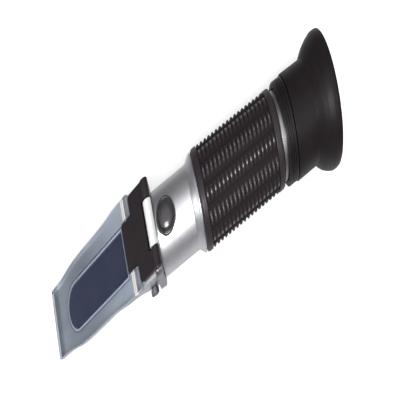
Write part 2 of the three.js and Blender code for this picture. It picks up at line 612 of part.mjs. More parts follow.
// ---------------------------------------------------------------- assembly
const PARTS = [
  ["prism_housing", prismHousing(), FINISH.housing],
  ["main_prism", mainPrism(), FINISH.prism],
  ["prism_seal", prismSeal(), FINISH.cement],
  ["hinge_block", hingeBlock(), FINISH.hingeBlock],
  ["housing_screw_left", housingScrew(1), FINISH.screw],
  ["housing_screw_right", housingScrew(-1), FINISH.screw],
  ["hinge_pin", hingePin(), FINISH.hingePin],
  ["cover_leaf", coverLeaf(), FINISH.leaf],
  ["plate_pin", platePin(), FINISH.platePin],
  ["daylight_plate", daylightPlate(), FINISH.plate],
  ["body_tube", bodyTube(), FINISH.tube],
  ["grip_sleeve", gripSleeve(), FINISH.grip],
  ["calibration_bush", calibrationBush(), FINISH.bush],
  ["calibration_screw", calibrationScrew(), FINISH.calScrew],
  ["calibration_cap", calibrationCap(), FINISH.cap],
  ["lens_carriage", lensCarriage(), FINISH.darkMetal],
  ["objective_lens", objectiveLens(), FINISH.lens],
  ["objective_ring", objectiveRing(), FINISH.objectiveRing],
  ["bimetal_strip", bimetalStrip(), FINISH.bimetal],
  ["bimetal_screw", bimetalScrew(), FINISH.screw],
  ["light_baffle", lightBaffle(), FINISH.baffle],
  ["eyepiece_barrel", eyepieceBarrel(), FINISH.barrel],
  ["reticle_ring", reticleRing(), FINISH.reticleRing],
  ["reticle_glass", reticleGlass(), FINISH.reticleGlass],
  ["lens_cell", lensCell(), FINISH.cell],
  ["guide_screw", guideScrew(), FINISH.screw],
  ["field_lens", fieldLens(), FINISH.lens],
  ["lens_spacer", lensSpacer(), FINISH.spacer],
  ["eye_lens", eyeLens(), FINISH.lens],
  ["lens_retaining_ring", lensRetainingRing(), FINISH.retainingRing],
  ["focus_ring", focusRing(), FINISH.focusRing],
  ["cell_retainer", cellRetainer(), FINISH.darkMetal],
  ["eyecup", eyecup(), FINISH.eyecup],
];

const group = new THREE.Group();
group.position.set(-ORIGIN_X, 0, -HEAD_BOTTOM);
for (const [name, solid, look] of PARTS) {
  const { vertProperties, triVerts } = solid.getMesh();
  const material = new THREE.MeshStandardMaterial(look);
  const mesh = new THREE.Mesh(bufferGeometry(vertProperties, triVerts), material);
  mesh.name = name;
  group.add(mesh);
}

export default group;
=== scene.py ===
import json
import math

import bmesh
import bpy
import numpy as np
from mathutils import Matrix, Vector


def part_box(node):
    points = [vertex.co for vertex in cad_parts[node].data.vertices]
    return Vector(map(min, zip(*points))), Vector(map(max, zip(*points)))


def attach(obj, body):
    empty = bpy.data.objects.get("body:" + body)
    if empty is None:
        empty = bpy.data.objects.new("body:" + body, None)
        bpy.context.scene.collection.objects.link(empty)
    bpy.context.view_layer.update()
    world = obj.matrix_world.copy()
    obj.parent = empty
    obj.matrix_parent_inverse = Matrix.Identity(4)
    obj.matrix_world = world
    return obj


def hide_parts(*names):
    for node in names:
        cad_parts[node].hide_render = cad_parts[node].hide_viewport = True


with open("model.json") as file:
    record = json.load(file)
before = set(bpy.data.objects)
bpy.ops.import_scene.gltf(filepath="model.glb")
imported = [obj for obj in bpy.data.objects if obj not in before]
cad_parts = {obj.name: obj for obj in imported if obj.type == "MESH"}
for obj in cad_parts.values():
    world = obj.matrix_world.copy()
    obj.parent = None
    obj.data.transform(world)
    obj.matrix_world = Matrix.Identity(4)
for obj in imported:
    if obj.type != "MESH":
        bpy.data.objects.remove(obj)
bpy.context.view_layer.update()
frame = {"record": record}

# ------------------------------------------------------------------ frame
# Shapes are written in millimetres from the point where the optical axis meets
# the rear face of the housing's flange, as in the CAD source.
MM = 0.001
_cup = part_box("eyecup")
OX = _cup[1].x / MM - 99.2
OZ = (_cup[0].z + _cup[1].z) / 2 / MM
GROUPS = frame["record"]["behaviour"]["bodies"]
BODY = {n: b for b, ns in GROUPS.items() for n in ns}
scene = bpy.context.scene


def row(x, y, z):
    return Vector(((x + OX) * MM, y * MM, (z + OZ) * MM))


# ------------------------------------------------------------------ dimensions
GAP = 0.3
SLOPE = math.radians(23.5)
SA, CA = math.sin(SLOPE), math.cos(SLOPE)
SLOPE_X0, SLOPE_Z0 = -64.5, -9.5
PLATE_T = 2.4
FACE_N = -(PLATE_T + GAP)
HEAD_BOTTOM = -13.5
# half width of the cover plate and of the housing's top: (distance up the slope, half width)
HEAD_PLAN = [(0, 9.3), (0.8, 9.65), (4, 9.75), (8, 9.95), (12, 10.35), (16, 10.95), (20, 11.3), (26, 11.5), (40, 11.6), (44, 11.85), (48, 12.25), (52.5, 12.35)]
# half width of the flat underside: (x, half width)
HEAD_KEEL = [(-63.5, 9.0), (-40, 7.95), (-17, 6.9), (-3.3, 8.2)]
# height of the upright upper part of each side, which grows towards the flange: (x, height)
UPRIGHT = [(-26, 0), (-19, 1.2), (-13, 4.2), (-8, 9.4), (-3.3, 12.8)]
FLANGE_BELLY_R, FLANGE_L, FLANGE_HALF = 9.0, 3.5, 12.6
WIN_HALF, WIN_S0, WIN_S1 = 5.75, 10.2, 50.0
PRISM_BOTTOM = -10.6
SEAL_W = 0.7
HINGE_X, HINGE_Z, HINGE_R, HINGE_PIN_R = -1.7, 16.8, 2.0, 0.9
KNUCKLE_HALF, LEAF_HALF, TONGUE_HALF = 5.9, 11.2, 6.2
TONGUE_S0, LEAF_S0, LEAF_TOP = 52.5, 58.5, 0.3
FLOAT_S, FLOAT_N, FLOAT_PIN_R = 54.9, -1.05, 0.6
SET_X, SET_Z = -5.85, 3.5
CAL_X, CAP_R = 5.9, 4.9
GRIP_X0, GRIP_X1, GRIP_R = 23.0, 67.5, 13.8
TUBE_R, COLLAR_R, FOCUS_R, NECK_R, CUP_R, RIM_R, CUP_X1 = 11.4, 12.4, 14.4, 13.2, 14.85, 19.6, 99.2


def slope(s, n):
    return (SLOPE_X0 + s * CA - n * SA, SLOPE_Z0 + s * SA + n * CA)


def z_at(x, n):
    return SLOPE_Z0 + (x - SLOPE_X0) * SA / CA + n / CA


def on_slope(s, y, n):
    x, z = slope(s, n)
    return (x, y, z)


def smooth(table, x):
    """Monotone cubic reading of a table of (x, value)."""
    xs, ys = [float(p[0]) for p in table], [float(p[1]) for p in table]
    if x <= xs[0]:
        return ys[0]
    if x >= xs[-1]:
        return ys[-1]
    d = [(b - a) / (q - p) for a, b, p, q in zip(ys, ys[1:], xs, xs[1:])]
    m = [d[0]] + [0.0 if a * b <= 0 else 2 * a * b / (a + b) for a, b in zip(d, d[1:])] + [d[-1]]
    i = max(k for k in range(len(xs) - 1) if xs[k] <= x)
    h = xs[i + 1] - xs[i]
    t = (x - xs[i]) / h
    return ((1 + 2 * t) * (1 - t) ** 2 * ys[i] + t * (1 - t) ** 2 * h * m[i]
            + t * t * (3 - 2 * t) * ys[i + 1] + t * t * (t - 1) * h * m[i + 1])


HINGE_S = (HINGE_X - SLOPE_X0) * CA + (HINGE_Z - SLOPE_Z0) * SA


# ------------------------------------------------------------------ outlines
def fillet(points, closed=True, n=5):
    """Rounds the corners of an outline of (a, b) or (a, b, radius)."""
    out = []
    m = len(points)
    for i, p in enumerate(points):
        r = p[2] if len(p) > 2 else 0.0
        if r <= 0 or (not closed and i in (0, m - 1)):
            out.append((float(p[0]), float(p[1])))
            continue
        p0, p1, p2 = (np.array(q[:2], float) for q in (points[i - 1], p, points[(i + 1) % m]))
        d0, d2 = p0 - p1, p2 - p1
        l0, l2 = np.linalg.norm(d0), np.linalg.norm(d2)
        d0, d2 = d0 / l0, d2 / l2
        ang = math.acos(max(-1.0, min(1.0, float(d0 @ d2))))
        if ang > math.pi - 0.01:
            out.append((float(p1[0]), float(p1[1])))
            continue
        t = min(r / math.tan(ang / 2), 0.47 * l0, 0.47 * l2)
        rr = t * math.tan(ang / 2)
        a, b = p1 + d0 * t, p1 + d2 * t
        bis = (d0 + d2) / np.linalg.norm(d0 + d2)
        c = p1 + bis * rr / math.sin(ang / 2)
        v0, v1 = a - c, b - c
        phi = math.pi - ang
        steps = max(2, math.ceil(n * phi / (math.pi / 2)))
        for k in range(steps + 1):
            u = k / steps
            v = (math.sin((1 - u) * phi) * v0 + math.sin(u * phi) * v1) / math.sin(phi)
            q = c + v
            out.append((float(q[0]), float(q[1])))
    return out


def area(outline):
    return 0.5 * sum(
        a[0] * b[1] - b[0] * a[1] for a, b in zip(outline, outline[1:] + outline[:1])
    )


def inset(outline, d):
    """The outline moved inwards by d; the outline runs anticlockwise."""
    out = []
    m = len(outline)
    for i in range(m):
        p0, p1, p2 = (np.array(outline[j], float) for j in (i - 1, i, (i + 1) % m))
        e0, e1 = p1 - p0, p2 - p1
        e0, e1 = e0 / np.linalg.norm(e0), e1 / np.linalg.norm(e1)
        n0, n1 = np.array([-e0[1], e0[0]]), np.array([-e1[1], e1[0]])
        k = max(0.3, 1 + float(n0 @ n1))
        q = p1 + (n0 + n1) / k * d
        out.append((float(q[0]), float(q[1])))
    return out


def window(g, steps=40):
    """Window outline grown by g: round at the front, straight at the rear."""
    h, c = WIN_HALF + g, WIN_S0 + WIN_HALF
    out = []
    for i in range(steps + 1):
        t = math.pi / 2 + math.pi * i / steps
        out.append((c + h * math.cos(t), h * math.sin(t)))
    for k in range(1, 21):
        out.append((c + (WIN_S1 + g - c) * k / 20, -h))
    for k in range(1, 9):
        out.append((WIN_S1 + g, -h + 2 * h * k / 8))
    for k in range(1, 20):
        out.append((WIN_S1 + g - (WIN_S1 + g - c) * k / 20, h))
    return out


# ------------------------------------------------------------------ meshes
def new_object(name, bm):
    for v in bm.verts:
        v.co = row(*v.co)
    bmesh.ops.recalc_face_normals(bm, faces=bm.faces)
    me = bpy.data.meshes.new(name)
    bm.to_mesh(me)
    bm.free()
    ob = bpy.data.objects.new(name, me)
    scene.collection.objects.link(ob)
    return ob


def loops(rings, closed_end=False, cap=True):
    """A skin over rings of points with the same count. A ring of one point is a pole."""
    bm = bmesh.new()
    made = [[bm.verts.new(p) for p in r] for r in rings]
    pairs = list(zip(made, made[1:]))
    if closed_end:
        pairs.append((made[-1], made[0]))
    for a, b in pairs:
        m = max(len(a), len(b))
        for k in range(m):
            j = (k + 1) % m
            if len(a) == 1 and len(b) == 1:
                continue
            if len(a) == 1:
                bm.faces.new((a[0], b[k], b[j]))
            elif len(b) == 1:
                bm.faces.new((a[k], b[0], a[j]))
            else:
                bm.faces.new((a[k], b[k], b[j], a[j]))
    if cap and not closed_end:
        for r in (made[0], made[-1]):
            if len(r) > 2:
                bm.faces.new(r)
    return bm


def turned(name, profile, axis="X", centre=(0, 0, 0), seg=96, n=4):
    """A closed profile of (along, radius[, corner radius]) turned round an axis."""
    poles = profile[0][1] == 0 and profile[-1][1] == 0
    pts = fillet(profile, closed=not poles, n=n)
    cx, cy, cz = centre

    def at(a, r, t):
        s, c = r * math.sin(t), r * math.cos(t)
        if axis == "X":
            return (cx + a, cy + s, cz + c)
        if axis == "Y":
            return (cx + s, cy + a, cz + c)
        return (cx + s, cy + c, cz + a)

    rings = []
    for a, r in pts:
        if r < 1e-7:
            rings.append([at(a, 0, 0)])
        else:
            rings.append([at(a, r, 2 * math.pi * k / seg) for k in range(seg)])
    return new_object(name, loops(rings, closed_end=not poles, cap=False))


def slab(name, outline, w0, w1, where, edge=0.0, edge0=None, n=3, corners=4):
    """An outline made thick from w0 to w1, its rims rounded by edge; where maps (u, v, w) to x, y, z."""
    pts = fillet(outline, n=corners)
    if area(pts) < 0:
        pts = pts[::-1]
    e0 = edge if edge0 is None else edge0
    rings = []
    if e0 > 0:
        rings = [(w0 + e0 * (1 - math.cos(math.pi / 2 * k / n)), e0 * (1 - math.sin(math.pi / 2 * k / n))) for k in range(n + 1)]
    else:
        rings = [(w0, 0.0)]
    if edge > 0:
        rings += [(w1 - edge * (1 - math.cos(math.pi / 2 * (1 - k / n))), edge * (1 - math.sin(math.pi / 2 * (1 - k / n)))) for k in range(n + 1)]
    else:
        rings += [(w1, 0.0)]
    out = []
    for w, d in rings:
        ring = inset(pts, d) if d > 1e-9 else pts
        out.append([where(u, v, w) for u, v in ring])
    return new_object(name, loops(out))


def along_z(u, v, w):
    return (u, v, w)


def along_y(u, v, w):
    return (u, w, v)


def block(name, x0, x1, y0, y1, z0, z1, edge=0.0):
    r = edge if edge else 0
    pts = [(x0, y0, r), (x1, y0, r), (x1, y1, r), (x0, y1, r)] if r else [(x0, y0), (x1, y0), (x1, y1), (x0, y1)]
    return slab(name, pts, z0, z1, along_z, edge)


def combine(target, operation, *tools, solver="MANIFOLD"):
    for t in tools:
        m = target.modifiers.new("join", "BOOLEAN")
        m.operation, m.object, m.solver = operation, t, solver
    bpy.context.view_layer.update()
    dg = bpy.context.evaluated_depsgraph_get()
    me = bpy.data.meshes.new_from_object(target.evaluated_get(dg))
    target.modifiers.clear()
    old = target.data
    target.data = me
    bpy.data.meshes.remove(old)
    me.name = target.name
    for t in tools:
        m = t.data
        bpy.data.objects.remove(t)
        bpy.data.meshes.remove(m)
    return target


def cut(target, *tools, **k):
    return combine(target, "DIFFERENCE", *tools, **k)


def soften(ob, width, angle=40, segments=2):
    """Breaks the sharp edges left by a cut."""
    m = ob.modifiers.new("edge_break", "BEVEL")
    m.width, m.segments, m.limit_method = width * MM, segments, "ANGLE"
    m.angle_limit = math.radians(angle)
    m.harden_normals = False
    m.use_clamp_overlap = True
    return ob


# ------------------------------------------------------------------ materials
class Finish:
    """A node material around one Principled shader."""

    def __init__(self, name):
        self.m = bpy.data.materials.new(name)
        self.m.use_nodes = True
        self.t = self.m.node_tree
        self.t.nodes.clear()
        self.out = self.new("ShaderNodeOutputMaterial")
        self.p = self.new("ShaderNodeBsdfPrincipled")
        self.link(self.p.outputs["BSDF"], self.out.inputs["Surface"])
        tc = self.new("ShaderNodeTexCoord")
        mp = self.new("ShaderNodeMapping")
        mp.inputs["Scale"].default_value = (1000, 1000, 1000)
        self.link(tc.outputs["Object"], mp.inputs["Vector"])
        self.mm = mp.outputs["Vector"]

    def new(self, kind, **props):
        n = self.t.nodes.new(kind)
        for k, v in props.items():
            setattr(n, k, v)
        return n

    def link(self, a, b):
        self.t.links.new(a, b)

    def put(self, socket, value):
        if hasattr(value, "is_output"):
            self.link(value, socket)
        else:
            socket.default_value = value

    def math(self, op, a, b=0.0, c=None, clamp=False):
        n = self.new("ShaderNodeMath", operation=op, use_clamp=clamp)
        self.put(n.inputs[0], a)
        self.put(n.inputs[1], b)
        if c is not None:
            self.put(n.inputs[2], c)
        return n.outputs[0]

    def vec(self, op, a, b=None):
        n = self.new("ShaderNodeVectorMath", operation=op)
        self.put(n.inputs[0], a)
        if b is not None:
            self.put(n.inputs[1], b)
        return n

    def stretched(self, sx, sy, sz, vector=None):
        return self.vec("MULTIPLY", vector or self.mm, (sx, sy, sz)).outputs[0]

    def around(self, centre):
        """(radius, angle, height) about a vertical axis through centre, in mm."""
        rel = self.vec("SUBTRACT", self.mm, centre).outputs[0]
        s = self.new("ShaderNodeSeparateXYZ")
        self.link(rel, s.inputs[0])
        r = self.math("SQRT", self.math("ADD", self.math("MULTIPLY", s.outputs[0], s.outputs[0]), self.math("MULTIPLY", s.outputs[1], s.outputs[1])))
        a = self.math("ARCTAN2", s.outputs[1], s.outputs[0])
        c = self.new("ShaderNodeCombineXYZ")
        self.link(r, c.inputs[0])
        self.link(a, c.inputs[1])
        self.link(s.outputs[2], c.inputs[2])
        return c.outputs[0]

    def noise(self, vector, scale=1.0, detail=3.0, rough=0.55, distortion=0.0):
        n = self.new("ShaderNodeTexNoise")
        self.link(vector, n.inputs["Vector"])
        n.inputs["Scale"].default_value = scale
        n.inputs["Detail"].default_value = detail
        n.inputs["Roughness"].default_value = rough
        n.inputs["Distortion"].default_value = distortion
        return n.outputs["Fac"]

    def cells(self, vector, scale):
        n = self.new("ShaderNodeTexVoronoi")
        self.link(vector, n.inputs["Vector"])
        n.inputs["Scale"].default_value = scale
        return n.outputs["Distance"]

    def remap(self, value, a, b, c, d):
        n = self.new("ShaderNodeMapRange")
        self.put(n.inputs[0], value)
        for i, v in zip((1, 2, 3, 4), (a, b, c, d)):
            n.inputs[i].default_value = v
        return n.outputs[0]

    def mix(self, f, a, b):
        n = self.new("ShaderNodeMix", data_type="RGBA")
        self.put(n.inputs[0], f)
        self.put(n.inputs[6], a)
        self.put(n.inputs[7], b)
        return n.outputs[2]

    def bump(self, height, dist_mm, strength=1.0, normal=None):
        n = self.new("ShaderNodeBump")
        self.link(height, n.inputs["Height"])
        n.inputs["Distance"].default_value = dist_mm * MM
        n.inputs["Strength"].default_value = strength
        if normal is not None:
            self.link(normal, n.inputs["Normal"])
        return n.outputs["Normal"]

    def edges(self, lo=0.53, hi=0.62):
        g = self.new("ShaderNodeNewGeometry")
        return self.remap(g.outputs["Pointiness"], lo, hi, 0.0, 1.0)

    def up_slope(self):
        """Distance along the slope and across it, in mm, and how squarely the surface faces the slope's normal."""
        rel = self.vec("SUBTRACT", self.mm, tuple(row(SLOPE_X0, 0, SLOPE_Z0) / MM)).outputs[0]
        s = self.vec("DOT_PRODUCT", rel, (CA, 0, SA)).outputs["Value"]
        sep = self.new("ShaderNodeSeparateXYZ")
        self.link(rel, sep.inputs[0])
        g = self.new("ShaderNodeNewGeometry")
        facing = self.math("ABSOLUTE", self.vec("DOT_PRODUCT", g.outputs["Normal"], (-SA, 0, CA)).outputs["Value"])
        return s, self.math("ABSOLUTE", sep.outputs[1]), facing

    def depth_x(self):
        sep = self.new("ShaderNodeSeparateXYZ")
        self.link(self.mm, sep.inputs[0])
        return sep.outputs[0]

    def band(self, value, a, b, soft):
        """1 between a and b, falling to 0 over soft."""
        up = self.remap(value, a - soft, a, 0.0, 1.0)
        down = self.remap(value, b, b + soft, 1.0, 0.0)
        return self.math("MULTIPLY", up, down)

    def set(self, **k):
        names = {
            "color": "Base Color", "metal": "Metallic", "rough": "Roughness", "normal": "Normal",
            "ior": "IOR", "alpha": "Alpha", "trans": "Transmission Weight", "coat": "Coat Weight",
            "coat_rough": "Coat Roughness", "spec": "Specular IOR Level", "sheen": "Sheen Weight",
            "aniso": "Anisotropic", "tint": "Specular Tint", "film": "Thin Film Thickness",
            "film_ior": "Thin Film IOR", "tangent": "Tangent",
        }
        for key, value in k.items():
            self.put(self.p.inputs[names[key]], value)
        return self


def rgb(r, g, b):
    """A colour given as it looks on screen, 0-255."""
    def lin(c):
        c /= 255
        return c / 12.92 if c <= 0.04045 else ((c + 0.055) / 1.055) ** 2.4
    return (lin(r), lin(g), lin(b), 1.0)


def satin_metal(name, c1, c2, rough, grain=(14, 14, 14), line=0.010, spread=0.08, wear=None, aniso=0.0, axis="X"):
    f = Finish(name)
    big = f.noise(f.mm, 0.16, 3.0)
    fine = f.noise(f.stretched(*grain), 1.0, 4.0, 0.6)
    speck = f.noise(f.mm, 2.4, 2.0)
    col = f.mix(f.remap(big, 0.3, 0.7, 0, 1), c1, c2)
    col = f.mix(f.remap(fine, 0.35, 0.75, 0.0, 0.22), col, tuple(0.55 * v for v in c1[:3]) + (1.0,))
    if wear is not None:
        col = f.mix(f.edges(), col, wear)
    r = f.math("ADD", f.remap(big, 0.3, 0.7, rough - spread / 2, rough + spread / 2), f.remap(speck, 0.4, 0.8, 0.0, spread * 0.6))
    f.set(color=col, metal=1.0, rough=r, normal=f.bump(fine, line, 0.6))
    if aniso:
        t = f.new("ShaderNodeTangent", direction_type="RADIAL", axis=axis)
        f.set(aniso=aniso, tangent=t.outputs[0])
    return f.m


def turned_metal(name, c1, c2, rough, pitch=0.16, line=0.006, spread=0.06, aniso=0.35, centre=None, wear=None, metal=1.0):
    """Metal with the fine rings of a lathe: round the X axis, or round a vertical axis through centre."""
    f = Finish(name)
    if centre is None:
        rings = f.noise(f.stretched(1 / pitch, 0.05, 0.05), 1.0, 3.0, 0.6)
    else:
        rings = f.noise(f.stretched(1 / pitch, 0.15, 1 / pitch, f.around(centre)), 1.0, 3.0, 0.6)
    big = f.noise(f.mm, 0.11, 4.0)
    spots = f.noise(f.mm, 0.9, 3.0, 0.7)
    col = f.mix(f.remap(big, 0.3, 0.7, 0, 1), c1, c2)
    col = f.mix(f.remap(rings, 0.35, 0.7, 0.0, 0.3), col, tuple(0.7 * v for v in c1[:3]) + (1.0,))
    if wear is not None:
        col = f.mix(f.edges(), col, wear)
    r = f.math("ADD", f.remap(rings, 0.3, 0.7, rough - spread / 2, rough + spread / 2), f.remap(spots, 0.45, 0.75, 0.0, spread))
    f.set(color=col, metal=metal, rough=r, normal=f.bump(rings, line, 0.5))
    if aniso:
        t = f.new("ShaderNodeTangent", direction_type="RADIAL", axis="X" if centre is None else "Z")
        f.set(aniso=aniso, tangent=t.outputs[0])
    return f.m


def moulded(name, c1, c2, rough, spread=0.1, grain=5.0, depth=0.02, spec=0.5, dust=None, wear=None, sheen=0.0, coat=0.0):
    """Rubber or plastic from a mould: fine spark-eroded grain, faint mottling, handling marks."""
    f = Finish(name)
    big = f.noise(f.mm, 0.13, 4.0, 0.6)
    mid = f.noise(f.mm, 1.1, 4.0, 0.65)
    fine = f.cells(f.mm, grain)
    col = f.mix(f.remap(big, 0.3, 0.7, 0, 1), c1, c2)
    col = f.mix(f.remap(mid, 0.4, 0.8, 0.0, 0.5), col, tuple(min(1, 1.5 * v) for v in c2[:3]) + (1.0,))
    if dust is not None:
        col = f.mix(f.remap(f.noise(f.mm, 3.5, 2.0), 0.56, 0.78, 0.0, 0.35), col, dust)
    if wear is not None:
        col = f.mix(f.edges(0.52, 0.64), col, wear)
    r = f.math("ADD", f.remap(big, 0.3, 0.7, rough - spread / 2, rough + spread / 2), f.remap(mid, 0.4, 0.8, -0.3 * spread, 0.6 * spread))
    n = f.bump(mid, depth * 1.5, 0.4, f.bump(fine, depth, 0.6))
    f.set(color=col, rough=r, normal=n, spec=spec)
    if sheen:
        f.set(sheen=sheen)
    if coat:
        f.set(coat=coat, coat_rough=0.12)
    return f.m


M = {}
def housing_alloy():
    """Cast alloy with a ground prism face: the face is lighter, duller and streaked along the slope, and carries
    painted shade, darkest partway up the slope; the flange carries painted shade as a darker grey.
    """
    f = Finish("cast_alloy_satin_painted_shade")
    big = f.noise(f.mm, 0.16, 3.0)
    fine = f.noise(f.stretched(5.5, 5.5, 5.5), 1.0, 4.0, 0.6)
    streak = f.noise(f.stretched(0.35, 2.6, 0.35), 1.0, 3.0, 0.6)
    blotch = f.noise(f.stretched(0.07, 0.13, 0.07), 1.0, 2.0)
    d, across, facing = f.up_slope()
    face = f.remap(facing, 0.95, 0.995, 0.0, 1.0)
    cast = f.mix(f.remap(big, 0.3, 0.7, 0, 1), rgb(212, 213, 220), rgb(201, 203, 211))
    ground = f.mix(f.remap(blotch, 0.35, 0.65, 0, 1), rgb(226, 229, 234), rgb(244, 245, 247))
    ground = f.mix(f.remap(streak, 0.45, 0.75, 0.0, 0.25), ground, rgb(190, 194, 202))
    # painted shade: the ground face is mixed towards rgb(120, 124, 130), most about 20 to 24 mm up the slope, less at
    # the tip and at the rear
    ground = f.mix(f.math("SUBTRACT", f.remap(d, 4.0, 20.0, 0.28, 0.62), f.remap(d, 24.0, 50.0, 0.0, 0.38)), ground, rgb(120, 124, 130))
    # painted shade: the flange, from about x = -3.4 mm towards the eyepiece, is given a darker grey, rgb(158, 156,
    # 162)
    flange = f.remap(f.math("SUBTRACT", f.depth_x(), OX), -4.2, -3.4, 0.0, 1.0)
    cast = f.mix(flange, cast, rgb(158, 156, 162))
    col = f.mix(face, cast, ground)
    col = f.mix(f.remap(fine, 0.35, 0.75, 0.0, 0.2), col, rgb(165, 167, 174))
    col = f.mix(f.math("MULTIPLY", f.edges(), f.math("SUBTRACT", 1.0, f.math("MULTIPLY", face, 0.6))), col, rgb(236, 238, 242))
    dull = f.remap(d, 18.0, 52.0, 0.42, 0.56)
    r = f.math("ADD", f.math("MULTIPLY", face, f.math("SUBTRACT", dull, 0.38)), f.remap(big, 0.3, 0.7, 0.34, 0.42))
    f.set(color=col, metal=1.0, rough=r, normal=f.bump(fine, 0.012, 0.6))
    return f.m


M["housing_metal"] = housing_alloy()
M["tube_metal"] = turned_metal("anodised_tube", rgb(232, 232, 236), rgb(222, 223, 229), 0.34, pitch=0.22, line=0.004, wear=rgb(244, 244, 246))
M["bright_ring"] = turned_metal("bright_turned_ring", rgb(178, 175, 174), rgb(166, 164, 165), 0.3, pitch=0.16, line=0.003, aniso=0.2)
M["polished_steel"] = satin_metal("polished_nickel", rgb(248, 248, 248), rgb(242, 243, 245), 0.26, grain=(1.0, 7.0, 7.0), line=0.003, spread=0.06)
M["steel"] = satin_metal("machined_steel", rgb(206, 208, 212), rgb(190, 192, 198), 0.26, grain=(8, 8, 8), line=0.005)
M["brass"] = turned_metal("turned_brass", rgb(214, 178, 104), rgb(196, 158, 88), 0.3, pitch=0.12, centre=tuple((row(CAL_X, 0, 0) / MM)), aniso=0.2)
M["strip"] = satin_metal("rolled_bimetal", rgb(200, 160, 104), rgb(176, 140, 96), 0.34, grain=(0.6, 9, 9), line=0.004)
M["black_metal"] = turned_metal("black_anodised", rgb(44, 44, 48), rgb(36, 36, 40), 0.4, pitch=0.14, line=0.006, metal=0.6)
M["ring_black"] = turned_metal("black_enamel_ring", rgb(26, 21, 24), rgb(20, 16, 18), 0.36, pitch=0.2, line=0.004, metal=0.0, aniso=0.0, spread=0.05, wear=rgb(36, 31, 34))
for _n in M["ring_black"].node_tree.nodes:
    if _n.type == "BSDF_PRINCIPLED":
        _n.inputs["Specular IOR Level"].default_value = 0.3
M["black_plastic"] = moulded("black_painted_leaf", rgb(30, 22, 26), rgb(23, 16, 20), 0.46, grain=3.2, depth=0.012, spec=0.3, wear=rgb(46, 39, 43))
M["cap_rubber"] = moulded("cap_rubber", rgb(46, 43, 46), rgb(38, 35, 38), 0.2, spread=0.06, grain=4.2, depth=0.005, spec=1.0, wear=rgb(66, 65, 70))
M["cup_rubber"] = moulded("eyecup_rubber", rgb(28, 22, 24), rgb(20, 15, 17), 0.42, grain=3.0, depth=0.02, spec=0.2, dust=rgb(46, 41, 43), wear=rgb(48, 43, 46))
# Painted highlight: the knuckle is near-white and only half metallic, so it shows white from every side in place of
# the bright reflection in its polished nickel.
M["knuckle_painted_highlight"] = satin_metal("nickel_knuckle_painted_highlight", rgb(252, 252, 251), rgb(246, 246, 246), 0.36, grain=(1.0, 7.0, 7.0), line=0.003, spread=0.06)
for _n in M["knuckle_painted_highlight"].node_tree.nodes:
    if _n.type == "BSDF_PRINCIPLED":
        _n.inputs["Metallic"].default_value = 0.5
M["screw_satin"] = satin_metal("satin_screw_steel", rgb(128, 126, 131), rgb(114, 113, 118), 0.5, grain=(8, 8, 8), line=0.006)
M["cement"] = moulded("cement_bead", rgb(176, 179, 191), rgb(160, 164, 178), 0.55, grain=2.2, depth=0.03, spec=0.3)


def clear_plastic():
    """Clear acrylic: faintly hazy, glossy on top; its cut edges are frosted and the holes for its pin show milky, with
    a painted highlight in cream over the pin's bosses.
    """
    f = Finish("clear_acrylic")
    haze = f.noise(f.mm, 0.12, 4.0, 0.6)
    scuff = f.noise(f.stretched(0.7, 5.0, 0.7), 1.0, 4.0, 0.7)
    d, across, facing = f.up_slope()
    frost = f.remap(facing, 0.80, 0.97, 1.0, 0.0)
    # the band round the pin's bosses is partly milky frosting of the drilled holes and partly painted highlight, in
    # cream rgb(210, 203, 198)
    milky_and_pin_glint = f.math("MULTIPLY", f.band(d, FLOAT_S - 0.8, FLOAT_S + 0.6, 0.4), f.remap(across, 6.5, 6.9, 0.0, 1.0))
    col = f.mix(f.remap(haze, 0.3, 0.7, 0, 1), rgb(150, 162, 182), rgb(168, 178, 196))
    col = f.mix(frost, col, f.mix(f.remap(scuff, 0.4, 0.7, 0, 1), rgb(120, 126, 136), rgb(136, 141, 150)))
    col = f.mix(milky_and_pin_glint, col, rgb(210, 203, 198))
    normal = f.bump(haze, 0.05, 0.25)
    f.set(color=col, rough=f.remap(scuff, 0.35, 0.75, 0.25, 0.45), ior=1.49, spec=0.1)
    clear = f.new("ShaderNodeBsdfTransparent")
    clear.inputs["Color"].default_value = (0.935, 0.957, 0.978, 1)
    body = f.new("ShaderNodeMixShader")
    a = f.math("ADD", f.remap(haze, 0.3, 0.7, 0.008, 0.02), f.math("MULTIPLY", f.remap(scuff, 0.6, 0.85, 0.0, 1.0), 0.02))
    a = f.math("ADD", a, f.math("MULTIPLY", frost, 0.84))
    a = f.math("ADD", a, f.math("MULTIPLY", milky_and_pin_glint, 0.55), clamp=True)
    f.link(a, body.inputs[0])
    f.link(clear.outputs[0], body.inputs[1])
    f.link(f.p.outputs["BSDF"], body.inputs[2])
    shine = f.new("ShaderNodeBsdfGlossy")
    shine.inputs["Color"].default_value = (0.9, 0.92, 0.95, 1)
    f.put(shine.inputs["Roughness"], f.remap(scuff, 0.35, 0.75, 0.06, 0.16))
    f.link(normal, shine.inputs["Normal"])
    fres = f.new("ShaderNodeFresnel")
    fres.inputs["IOR"].default_value = 1.36
    f.link(normal, fres.inputs["Normal"])
    lp = f.new("ShaderNodeLightPath")
    k = f.math("MULTIPLY", fres.outputs[0], f.math("SUBTRACT", 1.0, lp.outputs["Is Shadow Ray"]))
    top = f.new("ShaderNodeMixShader")
    f.link(k, top.inputs[0])
    f.link(body.outputs[0], top.inputs[1])
    f.link(shine.outputs[0], top.inputs[2])
    f.link(top.outputs[0], f.out.inputs["Surface"])
    f.m.surface_render_method = "BLENDED"
    return f.m


